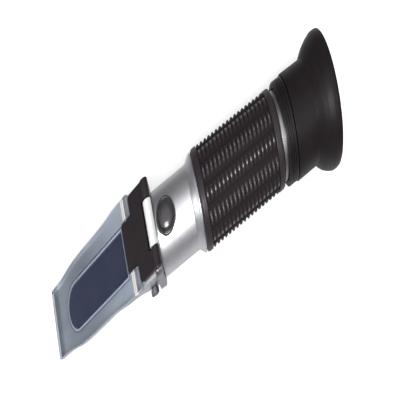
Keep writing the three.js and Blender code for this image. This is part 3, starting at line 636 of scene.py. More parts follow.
def prism_glass():
    f = Finish("prism_glass")
    depth = f.noise(f.stretched(0.035, 0.06, 0.06), 1.0, 2.0)
    smear = f.noise(f.stretched(0.3, 0.9, 0.3), 1.0, 4.0, 0.7)
    # painted shade: the prism is an opaque dark navy, standing in for the dark seen through its clear glass
    col = f.mix(f.remap(depth, 0.3, 0.7, 0, 1), rgb(30, 33, 62), rgb(20, 23, 48))
    f.set(color=col, rough=f.remap(smear, 0.35, 0.8, 0.03, 0.11), ior=1.62, spec=0.3)
    return f.m


def lens_glass():
    f = Finish("coated_lens")
    smear = f.noise(f.mm, 0.5, 4.0, 0.7)
    f.set(color=f.mix(f.remap(smear, 0.3, 0.7, 0, 1), rgb(226, 232, 244), rgb(238, 236, 246)),
          rough=f.remap(smear, 0.4, 0.8, 0.0, 0.05), ior=1.52, trans=1.0, film=118.0, film_ior=1.38)
    return f.m


def ribbed_rubber():
    """Moulded rubber: polished where hands touch the crests of the fins, which also carry a painted highlight; matt
    down in the grooves, with painted shade there.
    """
    f = Finish("grip_rubber_ribbed")
    big = f.noise(f.mm, 0.13, 4.0, 0.6)
    mid = f.noise(f.mm, 1.1, 4.0, 0.65)
    fine = f.cells(f.mm, 3.4)
    sep = f.new("ShaderNodeSeparateXYZ")
    f.link(f.vec("SUBTRACT", f.mm, tuple(row(0, 0, 0) / MM)).outputs[0], sep.inputs[0])
    y, z = sep.outputs[1], sep.outputs[2]
    r = f.math("SQRT", f.math("ADD", f.math("MULTIPLY", y, y), f.math("MULTIPLY", z, z)))
    ribbed = f.band(sep.outputs[0], 26.4, 64.5, 0.1)
    crest = f.math("MULTIPLY", f.remap(r, GRIP_R - 0.17, GRIP_R - 0.03, 0.0, 1.0), ribbed)
    groove_matt_and_shade = f.math("MULTIPLY", f.remap(r, GRIP_R - 0.76, GRIP_R - 0.4, 1.0, 0.0), ribbed)
    col = f.mix(f.remap(big, 0.3, 0.7, 0, 1), rgb(44, 36, 40), rgb(35, 29, 33))
    col = f.mix(f.remap(mid, 0.4, 0.8, 0.0, 0.5), col, rgb(44, 38, 42))
    col = f.mix(f.remap(f.noise(f.mm, 3.5, 2.0), 0.56, 0.78, 0.0, 0.3), col, rgb(66, 58, 61))
    # painted highlight: the crests of the fins are lightened towards rgb(118, 109, 111)
    col = f.mix(f.math("MULTIPLY", crest, 0.28), col, rgb(118, 109, 111))
    # painted shade: the grooves are darkened towards rgb(32, 25, 28)
    col = f.mix(groove_matt_and_shade, col, rgb(32, 25, 28))
    rough = f.math("ADD", f.remap(big, 0.3, 0.7, 0.32, 0.42), f.math("MULTIPLY", groove_matt_and_shade, 0.3))
    rough = f.math("SUBTRACT", rough, f.math("MULTIPLY", crest, 0.06))
    spec = f.math("ADD", 0.34, f.math("MULTIPLY", crest, 1.5))
    spec = f.math("MULTIPLY", spec, f.math("SUBTRACT", 1.0, f.math("MULTIPLY", groove_matt_and_shade, 0.6)))
    f.set(color=col, rough=rough, spec=spec, normal=f.bump(mid, 0.02, 0.3, f.bump(fine, 0.01, 0.5)))
    return f.m


M["clear_plastic"] = clear_plastic()
M["grip_rubber"] = ribbed_rubber()
M["prism_glass"] = prism_glass()
M["lens_glass"] = lens_glass()


def piece(ob, node, slot, material=None, smooth=32, weighted=True):
    """Gives a mesh its finish and lets it stand for a CAD node, on that node's body."""
    me = ob.data
    me.materials.clear()
    me.materials.append(M[material or slot])
    me.polygons.foreach_set("use_smooth", [True] * len(me.polygons))
    me.set_sharp_from_angle(angle=math.radians(smooth))
    if weighted:
        w = ob.modifiers.new("face_weighted_normals", "WEIGHTED_NORMAL")
        w.keep_sharp = True
        w.mode = "FACE_AREA"
        w.weight = 60
    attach(ob, BODY[node])
    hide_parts(node)
    return ob


# ------------------------------------------------------------------ prism head
TIP_X = slope(0, FACE_N)[0]
HEAD_TOP = HEAD_PLAN + [((-FLANGE_L - SLOPE_X0 + FACE_N * SA) / CA, 12.35)]


def bend(a, b, c, da, dc, k):
    """k + 1 points of a soft corner at b, starting da before it and ending dc after it."""
    a, b, c = (np.array(v, float) for v in (a, b, c))
    p = b + (a - b) / np.linalg.norm(a - b) * da
    q = b + (c - b) / np.linalg.norm(c - b) * dc
    out = []
    for i in range(k + 1):
        t = i / k
        v = (1 - t) ** 2 * p + 2 * t * (1 - t) * b + t * t * q
        out.append((float(v[0]), float(v[1])))
    return out


def mirrored(x, half):
    left = [(-y, z) for y, z in half[1:-1]][::-1]
    return [(x, y, z) for y, z in half + left]


def head_section(x, shrink=0.0, lift=0.0):
    """The housing's section at x: flat keel, sides leaning in to it, and an upright top part."""
    w = smooth(HEAD_TOP, (x - SLOPE_X0 + FACE_N * SA) / CA) - shrink
    top = z_at(x, FACE_N) - shrink
    bottom = HEAD_BOTTOM + lift + shrink
    up = smooth(UPRIGHT, x) + 0.3 * (top - bottom) / (z_at(x, FACE_N) - HEAD_BOTTOM)
    zv = top - up
    b = min(smooth(HEAD_KEEL, x) - shrink, w - 0.25)
    side = math.hypot(w - b, zv - bottom)
    h = min(1.5, 0.42 * side)
    e = min(0.45, 0.5 * up)
    half = [(0, bottom), (b * 0.4, bottom)]
    half += bend((0, bottom), (b, bottom), (w, zv), 0.85 * h, h, 7)
    low, high = half[-1], (w - (w - b) * 0.05, zv - (zv - bottom) * 0.05)
    for k in (1, 2, 3):
        half.append((low[0] + (high[0] - low[0]) * k / 4, low[1] + (high[1] - low[1]) * k / 4))
    half += bend((b, bottom), (w, zv), (w, top), min(2.2, 0.18 * side), min(2.2, 0.45 * up), 6)
    half += bend((w, zv), (w, top), (0, top), e, e, 6)
    half += [(w * 0.5, top), (0, top)]
    return mirrored(x, half)


xs = [TIP_X + d for d in (0.25, 0.5, 0.8, 1.2, 1.7, 2.3, 3.1, 4.1, 5.3)] + list(np.linspace(TIP_X + 6.5, -28, 20)) + list(np.linspace(-27, -3.3, 34))
rings = [head_section(TIP_X, 0.22, 0.3), head_section(TIP_X + 0.08, 0.08, 0.22)]
rings += [head_section(float(x), 0.0, max(0.0, 0.15 - 0.15 * (float(x) - TIP_X) / 1.2)) for x in xs]
housing = new_object("prism_housing_casting", loops(rings))


def flange_section(x, shrink=0.0):
    cy, cz, r = FLANGE_HALF - FLANGE_BELLY_R, HEAD_BOTTOM + FLANGE_BELLY_R, FLANGE_BELLY_R - shrink
    w, top = FLANGE_HALF - shrink, z_at(x, FACE_N) - shrink
    half = [(0, HEAD_BOTTOM + shrink), (cy * 0.6, HEAD_BOTTOM + shrink)]
    for k in range(17):
        t = -math.pi / 2 + math.pi / 2 * k / 16
        half.append((cy + r * math.cos(t), cz + r * math.sin(t)))
    for k in (1, 2, 3):
        half.append((w, cz + (top - 3.2 - cz) * k / 4))
    half += bend((w, cz), (w, top), (0, top), 3.0, 2.6, 12)
    half += [(w * 0.4, top), (0, top)]
    return mirrored(x, half)


flange_rings = [flange_section(-FLANGE_L, 0.28), flange_section(-FLANGE_L + 0.05, 0.15), flange_section(-FLANGE_L + 0.15, 0.05), flange_section(-FLANGE_L + 0.3)]
flange_rings += [flange_section(-2.0), flange_section(-0.3), flange_section(-0.15, 0.05), flange_section(-0.05, 0.15), flange_section(0, 0.28)]
combine(housing, "UNION", new_object("t0", loops(flange_rings)))


def sunk(name, g, n_low, z_high):
    """The window's outline dropped straight down, its floor parallel to the prism face at n_low."""
    pts = [(slope(s, FACE_N)[0], y) for s, y in window(g)]
    return new_object(name, loops([[(x, y, z_at(x, n_low)) for x, y in pts], [(x, y, z_high) for x, y in pts]]))


pocket = slab("t1", [(slope(s, FACE_N)[0], y) for s, y in window(GAP)], PRISM_BOTTOM - GAP, 30, along_z)
rebate = sunk("t2", 2 * GAP + SEAL_W, FACE_N - 1.4, 30)
rear_x = slope(WIN_S1, FACE_N)[0]
passage = turned("t3", [(rear_x - 2, 0), (rear_x - 2, 6.5), (1, 6.5), (1, 0)], seg=64)
socket = turned("t4", [(-9.8, 0), (-9.8, 10.1), (1, 10.1), (1, 0)], seg=96)
foot_cut = block("t5", HINGE_X - 1.5, 1, -KNUCKLE_HALF - GAP, KNUCKLE_HALF + GAP, 12.7, 30)
relief = turned("t6", [(-LEAF_HALF - GAP, 0), (-LEAF_HALF - GAP, HINGE_R + GAP), (LEAF_HALF + GAP, HINGE_R + GAP), (LEAF_HALF + GAP, 0)], "Y", (HINGE_X, 0, HINGE_Z), 48)
screw_holes = turned("t7", [(-20, 0), (-20, 1.5), (20, 1.5), (20, 0)], "Y", (SET_X, 0, SET_Z), 40)
cut(housing, pocket, rebate, passage, socket, foot_cut, relief, screw_holes)
piece(housing, "prism_housing", "housing_metal")

# prism: the window's outline, ground flat on top, with a fine chamfer
pw = [(slope(s, FACE_N)[0], y) for s, y in window(0.0)]
pc = [(slope(s, FACE_N)[0], y) for s, y in window(-0.22)]
prism = new_object("illuminating_prism", loops([
    [(x, y, PRISM_BOTTOM) for x, y in pw],
    [(x, y, z_at(x, FACE_N - 0.22)) for x, y in pw],
    [(x, y, z_at(x, FACE_N)) for x, y in pc],
]))
piece(prism, "main_prism", "prism_glass", smooth=25)

section = [(0.3, -1.1), (0.3, -0.22), (0.36, -0.1), (0.47, -0.03), (0.62, 0.0), (0.78, -0.01), (0.9, -0.07), (0.97, -0.16), (1.0, -0.3), (1.0, -1.1)]
bead_rings = [[(slope(s, FACE_N)[0], y, z_at(slope(s, FACE_N)[0], FACE_N + d)) for s, y in window(g)] for g, d in section]
bead = new_object("prism_cement_bead", loops(bead_rings, closed_end=True, cap=False))
piece(bead, "prism_seal", "cement", smooth=60)

# hinge block
barrel = turned("hinge_knuckle", [(-KNUCKLE_HALF, 0), (-KNUCKLE_HALF, HINGE_R, 0.35), (KNUCKLE_HALF, HINGE_R, 0.35), (KNUCKLE_HALF, 0)], "Y", (HINGE_X, 0, HINGE_Z), 72, n=5)
foot = slab("t", [(HINGE_X - 1.2, 13.0), (-0.3, 13.0, 0.15), (-0.3, HINGE_Z, 0.1), (HINGE_X - 1.2, HINGE_Z, 0.1)], -KNUCKLE_HALF, KNUCKLE_HALF, along_y, 0.2)
combine(barrel, "UNION", foot)
cut(barrel, turned("t", [(-20, 0), (-20, HINGE_PIN_R + GAP), (20, HINGE_PIN_R + GAP), (20, 0)], "Y", (HINGE_X, 0, HINGE_Z), 40))
piece(barrel, "hinge_block", "polished_steel", "knuckle_painted_highlight")

for side, sign in (("left", 1), ("right", -1)):
    seat = 12.7
    prof = [(8.6, 0), (8.6, 1.0), (8.8, 1.2), (seat, 1.2), (seat, 2.0, 0.08), (seat + 1.6, 2.0, 0.35), (seat + 1.6, 0)]
    sc = turned(f"side_screw_{side}", [(sign * p[0],) + tuple(p[1:]) for p in prof], "Y", (SET_X, 0, SET_Z), 56, n=5)
    y0, y1 = sorted((sign * (seat + 1.0), sign * (seat + 2.4)))
    cut(sc, block("t", SET_X - 3, SET_X + 3, y0, y1, SET_Z - 0.3, SET_Z + 0.3))
    piece(soften(sc, 0.06), f"housing_screw_{side}", "steel", "screw_satin")

# ------------------------------------------------------------------ cover
fx, fz = slope(FLOAT_S, FLOAT_N)
pin = turned("cover_hinge_pin", [(-LEAF_HALF + 0.2, 0), (-LEAF_HALF + 0.2, HINGE_PIN_R, 0.25), (LEAF_HALF - 0.2, HINGE_PIN_R, 0.25), (LEAF_HALF - 0.2, 0)], "Y", (HINGE_X, 0, HINGE_Z), 40)
piece(pin, "hinge_pin", "steel")
ppin = turned("plate_levelling_pin", [(-11.6, 0), (-11.6, FLOAT_PIN_R, 0.15), (11.6, FLOAT_PIN_R, 0.15), (11.6, 0)], "Y", (fx, 0, fz), 32)
piece(ppin, "plate_pin", "polished_steel")

leaf = slab("cover_hinge_leaf", [
    (TONGUE_S0, -TONGUE_HALF, 0.9), (LEAF_S0, -TONGUE_HALF, 0.7), (LEAF_S0, -LEAF_HALF, 1.3),
    (HINGE_S, -LEAF_HALF, 0.2), (HINGE_S, LEAF_HALF, 0.2), (LEAF_S0, LEAF_HALF, 1.3),
    (LEAF_S0, TONGUE_HALF, 0.7), (TONGUE_S0, TONGUE_HALF, 0.9),
], -PLATE_T, LEAF_TOP, on_slope, 0.32, 0.15, n=4, corners=7)
lb = turned("t", [(-LEAF_HALF, 0), (-LEAF_HALF, HINGE_R, 0.35), (LEAF_HALF, HINGE_R, 0.35), (LEAF_HALF, 0)], "Y", (HINGE_X, 0, HINGE_Z), 72, n=4)
combine(leaf, "UNION", lb)
notch = slab("t", [(HINGE_S - 2.6, -KNUCKLE_HALF - GAP), (HINGE_S + 6, -KNUCKLE_HALF - GAP), (HINGE_S + 6, KNUCKLE_HALF + GAP), (HINGE_S - 2.6, KNUCKLE_HALF + GAP)], -8, 8, on_slope)
pin_hole = turned("t", [(-20, 0), (-20, HINGE_PIN_R + GAP), (20, HINGE_PIN_R + GAP), (20, 0)], "Y", (HINGE_X, 0, HINGE_Z), 40)
float_hole = turned("t", [(-20, 0), (-20, FLOAT_PIN_R + 0.2), (20, FLOAT_PIN_R + 0.2), (20, 0)], "Y", (fx, 0, fz), 32)
cut(leaf, notch, pin_hole, float_hole)
piece(leaf, "cover_leaf", "black_plastic")

ear0, ear1, rear = TONGUE_HALF + GAP, 12.3, LEAF_S0 - GAP
half = [(0, 9.3, 0.35), (0.8, 9.65, 0.6)]
half += [(d, smooth(HEAD_PLAN, d)) for d in (2, 4, 6, 8, 10, 12, 14, 16, 18, 20, 23, 26, 30, 35, 40, 42, 44, 46, 48, 50, 52.5)]
half += [(rear, ear1, 0.8), (rear, ear0, 0.4), (TONGUE_S0 - GAP, ear0, 0.6)]
plate = slab("daylight_plate_acrylic", [(p[0], -p[1]) + tuple(p[2:]) for p in half] + half[::-1], -PLATE_T, 0, on_slope, 0.2, 0.15, n=3, corners=6)
lip = slab("t", [slope(-1, -1.3), slope(0, -1.3), slope(1.6, 0), slope(1.6, 2), slope(-1, 2)], -20, 20, along_y)
cut(plate, lip)
for y0, y1 in ((-ear1 + 0.4, -ear0), (ear0, ear1 - 0.4)):
    combine(plate, "UNION", turned("t", [(y0, 0), (y0, 1.35, 0.2), (y1, 1.35, 0.2), (y1, 0)], "Y", (fx, 0, fz), 48))
cut(plate, turned("t", [(-11.9, 0), (-11.9, FLOAT_PIN_R + 0.2), (11.9, FLOAT_PIN_R + 0.2), (11.9, 0)], "Y", (fx, 0, fz), 32))
piece(plate, "daylight_plate", "clear_plastic")

# ------------------------------------------------------------------ body tube
tube = turned("body_tube_turned", [
    (-9.5, 8.0, 0.2), (-9.5, 9.8, 0.3), (0.3, 9.8), (0.3, TUBE_R, 0.25), (19.3, TUBE_R, 2.2), (21.7, 13.1, 1.2), (22.7, 13.65, 0.3),
    (22.7, 12.2), (67.7, 12.2, 0.2), (67.7, 11.3, 0.2), (56, 11.3), (56, 10.4), (2, 10.4), (2, 8.0, 0.2),
], seg=144, n=5)
spot = turned("t", [(11.0, 0), (11.0, CAP_R + 0.27), (20, CAP_R + 0.27), (20, 0)], "Z", (CAL_X, 0, 0), 72)
bush_hole = turned("t", [(5, 0), (5, 3.5), (20, 3.5), (20, 0)], "Z", (CAL_X, 0, 0), 48)
side_holes = turned("t", [(-20, 0), (-20, 1.5), (20, 1.5), (20, 0)], "Y", (SET_X, 0, SET_Z), 40)
strip_hole = turned("t", [(-20, 0), (-20, 1.5), (-5, 1.5), (-5, 0)], "Z", (40, 0, 0), 32)
cut(tube, spot, bush_hole, side_holes, strip_hole)
piece(tube, "body_tube", "tube_metal")

# ------------------------------------------------------------------ grip sleeve
RIBS, PITCH, RIB_X0 = 18, 2.13, 27.2
SECTORS = 13
HALF = 180.0 / SECTORS


def step(x, a, b):
    t = min(1.0, max(0.0, (x - a) / (b - a)))
    return t * t * (3 - 2 * t)


def grip_radius(x, phi):
    """Outer radius at x, phi degrees from the middle of a sector."""
    a = abs(phi)
    first, last = RIB_X0 - PITCH * 0.5, RIB_X0 + PITCH * (RIBS - 0.5)
    inside = step(x, first - 0.15, first + 0.2) * (1 - step(x, last - 0.15, last + 0.15))
    u = (x - RIB_X0) / PITCH
    u = abs(u - round(u))
    # fin: rounded crest, valley between fins
    fin = 0.72 * (1 - math.sqrt(max(0.0, 1 - (min(u, 0.34) / 0.34) ** 2))) ** 0.9
    # ridge: each fin falls away on both sides of the sector's middle
    d = a * math.pi / 180 * GRIP_R
    ridge = 0.36 * (math.sqrt(d * d + 0.42 ** 2) - 0.42)
    slot = 0.72 * step(a, 12.0, 13.1)
    cutin = max(fin, ridge, slot) + 0.15 * min(fin, ridge)
    end = 0.0
    f = x - GRIP_X0
    if f < 1.5:
        end = 0.9 * (1 - math.sqrt(max(0.0, 1 - (1 - f / 1.5) ** 2)))
    b = GRIP_X1 - x
    if b < 0.7:
        end = max(end, 0.7 - math.sqrt(max(0.0, 0.49 - (0.7 - b) ** 2)))
    return GRIP_R - inside * min(cutin, 1.0) - end


gx = [GRIP_X0 + d for d in (0.0, 0.05, 0.15, 0.3, 0.5, 0.75, 1.05, 1.5)] + list(np.linspace(24.9, 25.8, 2))
gx += [25.92, 26.0, 26.08, 26.16, 26.26, 26.36]
for i in range(RIBS):
    for u in (-0.42, -0.34, -0.325, -0.30, -0.26, -0.21, -0.14, -0.07, 0.0, 0.07, 0.14, 0.21, 0.26, 0.30, 0.325, 0.34, 0.42, 0.5):
        gx.append(RIB_X0 + (i + u) * PITCH)
last_x = RIB_X0 + PITCH * (RIBS - 0.5)
gx += [last_x + d for d in (-0.13, -0.06, 0.02, 0.1, 0.17)] + list(np.linspace(last_x + 0.5, 66.4, 3))
gx += [GRIP_X1 - d for d in (0.7, 0.5, 0.3, 0.15, 0.05, 0.0)]
gx = sorted(set(round(float(v), 5) for v in gx))
phis = [-HALF, -13.2, -12.9, -12.6, -12.3, -11.9, -9.6, -7.2, -5.2, -3.8, -2.7, -1.8, -0.9, 0.0, 0.9, 1.8, 2.7, 3.8, 5.2, 7.2, 9.6, 11.9, 12.3, 12.6, 12.9, 13.2]
rings = []
for x in gx:
    ring = []
    for k in range(SECTORS):
        for p in phis:
            t = math.radians((k + 0.5) * 2 * HALF + p)
            r = grip_radius(x, p)
            ring.append((x, r * math.sin(t), r * math.cos(t)))
    rings.append(ring)
for x, r in ((GRIP_X1, 12.9), (GRIP_X1, 12.6), (GRIP_X1 - 0.1, 12.5), (GRIP_X0 + 0.1, 12.5), (GRIP_X0, 12.55), (GRIP_X0, 12.7)):
    ring = []
    for k in range(SECTORS):
        for p in phis:
            t = math.radians((k + 0.5) * 2 * HALF + p)
            ring.append((x, r * math.sin(t), r * math.cos(t)))
    rings.append(ring)
grip = new_object("ribbed_grip_sleeve", loops(rings, closed_end=True, cap=False))
piece(grip, "grip_sleeve", "grip_rubber", smooth=50, weighted=False)

# ------------------------------------------------------------------ calibration
bush = turned("threaded_bush", [(8.4, 2.1, 0.1), (8.4, 3.2, 0.15), (12.5, 3.2, 0.25), (12.5, 2.1, 0.2)], "Z", (CAL_X, 0, 0), 56)
piece(bush, "calibration_bush", "brass")
cs = turned("zero_setting_screw", [(6.9, 0), (6.9, 1.2, 0.1), (7.6, 1.8, 0.1), (13.2, 1.8, 0.22), (13.2, 0)], "Z", (CAL_X, 0, 0), 48)
cut(cs, block("t", CAL_X - 3, CAL_X + 3, -0.3, 0.3, 12.4, 15))
piece(soften(cs, 0.05), "calibration_screw", "brass")
cap = turned("calibration_screw_cap", [
    (15.0, 0), (14.98, 0.7), (14.8, 2.2, 3.0), (14.3, 3.6, 0.7), (13.25, 3.95, 0.15), (12.98, 4.2, 0.12), (13.2, 4.45, 0.12), (13.0, 4.9, 0.4),
    (11.3, 4.9, 0.2), (11.3, 3.6, 0.1), (13.7, 3.6, 0.1), (14.0, 3.0, 0.2), (14.0, 0),
], "Z", (CAL_X, 0, 0), 96, n=6)
piece(cap, "calibration_cap", "cap_rubber", smooth=45)

carriage = turned("objective_carriage", [
    (2.8, 4.2, 0.1), (2.8, 7.5, 0.3), (8.6, 7.6, 0.25), (8.6, 5.1, 0.15), (3.9, 5.1), (3.9, 4.2),
], seg=72)
cut(carriage, block("t", 0, 12, -12, 12, 6.6, 12))
piece(soften(carriage, 0.1), "lens_carriage", "black_metal")


def lens(name, x0, x1, r, b0, b1, steps=12):
    prof = [(x0 - b0 * (1 - (i / steps) ** 2), r * i / steps) for i in range(steps + 1)]
    prof += [(x1 + b1 * (1 - (i / steps) ** 2), r * i / steps) for i in range(steps, -1, -1)]
    prof[steps] = prof[steps] + (0.12,)
    prof[steps + 1] = prof[steps + 1] + (0.12,)
    return turned(name, prof, seg=80)


piece(lens("objective_doublet", 5.0, 6.4, 4.8, 0.7, 0.5), "objective_lens", "lens_glass", smooth=25, weighted=False)
piece(turned("objective_clamp_ring", [(7.3, 3.9, 0.12), (7.3, 4.8, 0.12), (8.3, 4.8, 0.12), (8.3, 3.9, 0.25)], seg=72), "objective_ring", "black_metal")

strip = slab("temperature_strip", [(3.2, -3, 0.8), (44, -3, 1.2), (44, 3, 1.2), (3.2, 3, 0.8)], -9.2, -8.4, along_z, 0.1)
cut(strip, turned("t", [(-20, 0), (-20, 1.5), (0, 1.5), (0, 0)], "Z", (40, 0, 0), 32))
piece(strip, "bimetal_strip", "steel", "strip")
bs = turned("strip_fixing_screw", [(-11.9, 0), (-11.9, 1.2, 0.15), (-8.1, 1.2), (-8.1, 2.2, 0.1), (-6.9, 2.2, 0.35), (-6.9, 0)], "Z", (40, 0, 0), 40)
cut(bs, block("t", 37, 43, -0.28, 0.28, -7.5, -6))
piece(bs, "bimetal_screw", "steel")
piece(turned("light_stop", [(50, 6.5, 0.1), (50, 10.1, 0.2), (51.2, 10.1, 0.2), (51.2, 6.5, 0.4)], seg=96), "light_baffle", "black_metal")

# ------------------------------------------------------------------ eyepiece
eb = turned("eyepiece_barrel_turned", [
    (58, 9.6, 0.15), (58, 11.0, 0.3), (68, 11.0), (68, COLLAR_R, 0.3), (73.5, COLLAR_R, 0.3), (73.5, 11.0), (81, 11.0, 0.3), (81, 9.6, 0.15),
], seg=144, n=5)
cut(eb, turned("t", [(5, 0), (5, 1.2), (20, 1.2), (20, 0)], "Z", (77.5, 0, 0), 32))
piece(eb, "eyepiece_barrel", "bright_ring")
piece(turned("reticle_holder", [(59, 7.0, 0.1), (59, 9.3, 0.2), (62.6, 9.3, 0.2), (62.6, 8.2, 0.1), (60, 8.2), (60, 7.0, 0.1)], seg=80), "reticle_ring", "black_metal")
piece(turned("reticle_disc", [(60.3, 0), (60.3, 7.9, 0.15), (61.8, 7.9, 0.15), (61.8, 0)], seg=80), "reticle_glass", "lens_glass")
cell = turned("lens_cell_sleeve", [
    (66, 7.0, 0.1), (66, 9.3, 0.3), (84.3, 9.3), (84.3, 10.9, 0.15), (86, 10.9, 0.25), (86, 8.3, 0.2), (67, 8.3), (67, 7.0, 0.1),
], seg=96)
cut(cell, block("t", 72, 80.4, -1.2, 1.2, 8.55, 12))
piece(cell, "lens_cell", "black_metal")
gs = turned("focus_guide_screw", [(8.75, 0), (8.75, 0.9, 0.15), (10.85, 0.9, 0.15), (10.85, 0)], "Z", (77.5, 0, 0), 32)
cut(gs, block("t", 76, 79, -0.15, 0.15, 10.5, 12))
piece(gs, "guide_screw", "steel")
piece(lens("field_lens_glass", 68.4, 70.0, 8.0, 0.9, 0.2), "field_lens", "lens_glass", smooth=25, weighted=False)
piece(turned("lens_spacer_tube", [(70.6, 7.2, 0.1), (70.6, 8.0, 0.1), (79.3, 8.0, 0.1), (79.3, 7.2, 0.1)], seg=80), "lens_spacer", "black_metal")
piece(lens("eye_lens_glass", 80.4, 82.6, 8.0, 0.6, 1.2), "eye_lens", "lens_glass", smooth=25, weighted=False)
lr = turned("lens_clamp_ring", [(84.1, 6.7, 0.15), (84.1, 8.0, 0.1), (85.4, 8.0, 0.1), (85.4, 6.7, 0.45)], seg=80)
cut(lr, block("t", 84.9, 86, -9, -6, -0.5, 0.5), block("t", 84.9, 86, 6, 9, -0.5, 0.5))
piece(lr, "lens_retaining_ring", "black_metal")


def groove(x, w=0.42, d=0.4, r=FOCUS_R):
    return [(x, r, 0.1), (x + 0.1, r - d, 0.08), (x + w - 0.1, r - d, 0.08), (x + w, r, 0.1)]


fr = turned("dioptre_focus_ring", [
    (70, COLLAR_R + GAP, 0.1), (70, FOCUS_R - 0.4), (70.4, FOCUS_R, 0.35), *groove(71.15), *groove(72.2), *groove(73.25), (74.9, FOCUS_R, 0.25), (74.9, NECK_R, 0.1),
    (88, NECK_R, 0.2), (88, 8.6, 0.5), (86.3, 8.6, 0.1), (86.3, 11.3), (75.5, 11.3, 0.1), (75.5, COLLAR_R + GAP),
], seg=160, n=5)
piece(fr, "focus_ring", "ring_black")
piece(turned("cell_clamp_ring", [(82.8, 9.7, 0.1), (82.8, 11.0, 0.12), (84, 11.0, 0.12), (84, 9.7, 0.1)], seg=80), "cell_retainer", "black_metal")
cup = turned("soft_eyecup", [
    (75.2, NECK_R + GAP, 0.1), (75.2, CUP_R, 0.45), (87.2, CUP_R, 0.35), (87.9, CUP_R + 0.75, 0.3), (90.2, 17.35, 4.0), (92.9, 18.65, 5.0),
    (95.4, RIM_R - 0.1, 3.5), (97.3, RIM_R, 1.5), (98.65, RIM_R - 0.15, 0.6), (CUP_X1, RIM_R - 0.6, 0.4), (CUP_X1, RIM_R - 1.6, 0.4), (98.1, RIM_R - 2.0, 1.2),
    (94.9, 16.9, 3.0), (91.7, 14.7, 2.5), (90.3, 12.2, 2.5), (90.0, 9.5, 0.5), (88.3, 9.0, 0.15), (88.3, NECK_R + GAP, 0.1),
], seg=176, n=7)
piece(cup, "eyecup", "cup_rubber", smooth=40)

# ------------------------------------------------------------------ floor
T0, T1 = row(-62.8, 0, HEAD_BOTTOM), row(98.2, 0, -RIM_R)
run = (T1 - T0).normalized()
up = Vector((-run.z, 0, run.x))
mid = (T0 + T1) / 2 - up * 0.00015
bm = bmesh.new()
FLOOR = 1.4
grid = [[bm.verts.new(mid + run * (FLOOR * (i / 8 - 0.5)) + Vector((0, FLOOR * (j / 8 - 0.5), 0))) for j in range(9)] for i in range(9)]
for i in range(8):
    for j in range(8):
        bm.faces.new((grid[i][j], grid[i + 1][j], grid[i + 1][j + 1], grid[i][j + 1]))
me = bpy.data.meshes.new("studio_floor")
bm.to_mesh(me)
bm.free()
floor = bpy.data.objects.new("studio_floor", me)
scene.collection.objects.link(floor)
f = Finish("pale_paper")
pn = f.noise(f.mm, 0.5, 5.0, 0.6)
lp = f.new("ShaderNodeLightPath")
pale = f.mix(f.remap(pn, 0.3, 0.7, 0, 1), (0.93, 0.93, 0.935, 1), (0.96, 0.96, 0.962, 1))
geo = f.new("ShaderNodeNewGeometry")
steep = f.vec("DOT_PRODUCT", geo.outputs["Incoming"], geo.outputs["Normal"]).outputs["Value"]
seen = f.mix(f.remap(f.math("ABSOLUTE", steep), 0.15, 0.85, 0, 1), (0.125, 0.125, 0.135, 1), (0.5, 0.5, 0.5, 1))
f.set(color=f.mix(lp.outputs["Is Glossy Ray"], pale, seen), rough=0.9, spec=0.1, normal=f.bump(pn, 0.02, 0.1))
f.p.inputs["Emission Color"].default_value = (1, 1, 1, 1)
f.put(f.p.inputs["Emission Strength"], f.math("MULTIPLY", lp.outputs["Is Camera Ray"], 0.12))
me.materials.append(f.m)

# ------------------------------------------------------------------ camera
# The photograph's picture is narrower than the scene it shows, so the camera is a
# panoramic one whose upright and sideways scales differ. Moved to another
# viewpoint, it becomes an ordinary perspective camera through its driver.
C = row(11.812, -52.968, 217.013)
U = Vector((0.29222157, 0.14565962, -0.94519301)).normalized()
V = Vector((0.36254983, 0.89768812, 0.25042694)).normalized()
U = (U - V * U.dot(V)).normalized()
W = U.cross(V)
LAM, SPAN = 1.31360, 0.47294
ahead = (U * math.sin(LAM) - W * math.cos(LAM)).normalized()
right = ahead.cross(V).normalized()
cam = bpy.data.cameras.new("camera")
cam.type = "PANO"
cam.panorama_type = "CENTRAL_CYLINDRICAL"
cam.central_cylindrical_range_u_min = -SPAN
cam.central_cylindrical_range_u_max = SPAN
cam.central_cylindrical_range_v_min = -0.23441
cam.central_cylindrical_range_v_max = 0.21363
cam.central_cylindrical_radius = 1.0
cam.sensor_width = 36.0
cam.lens = 18.0 / math.tan(0.4)
cam.clip_start, cam.clip_end = 0.005, 50.0
camera = bpy.data.objects.new("camera", cam)
scene.collection.objects.link(camera)
m = Matrix.Identity(4)
for i, v in enumerate((right, V, -ahead)):
    for j in range(3):
        m[j][i] = v[j]
m.translation = C
camera.matrix_world = m
scene.camera = camera
drv = cam.driver_add("type").driver
drv.type = "SCRIPTED"
var = drv.variables.new()
var.name = "x"
var.type = "TRANSFORMS"
var.targets[0].id = camera
var.targets[0].transform_type = "LOC_X"
var.targets[0].transform_space = "WORLD_SPACE"
drv.expression = f"2 if abs(x - {C.x:.6f}) < 0.0001 else 0"

# ------------------------------------------------------------------ light
# a card standing off to the left, placed where the flare of the tube mirrors it
_n = Vector((-math.sin(math.radians(35)), -math.sin(math.radians(17)) * math.cos(math.radians(35)), math.cos(math.radians(17)) * math.cos(math.radians(35))))
_v = (row(20.5, 0, 12.3) - C).normalized()
CARD = tuple((_v - _n * (2 * _v.dot(_n))).normalized())

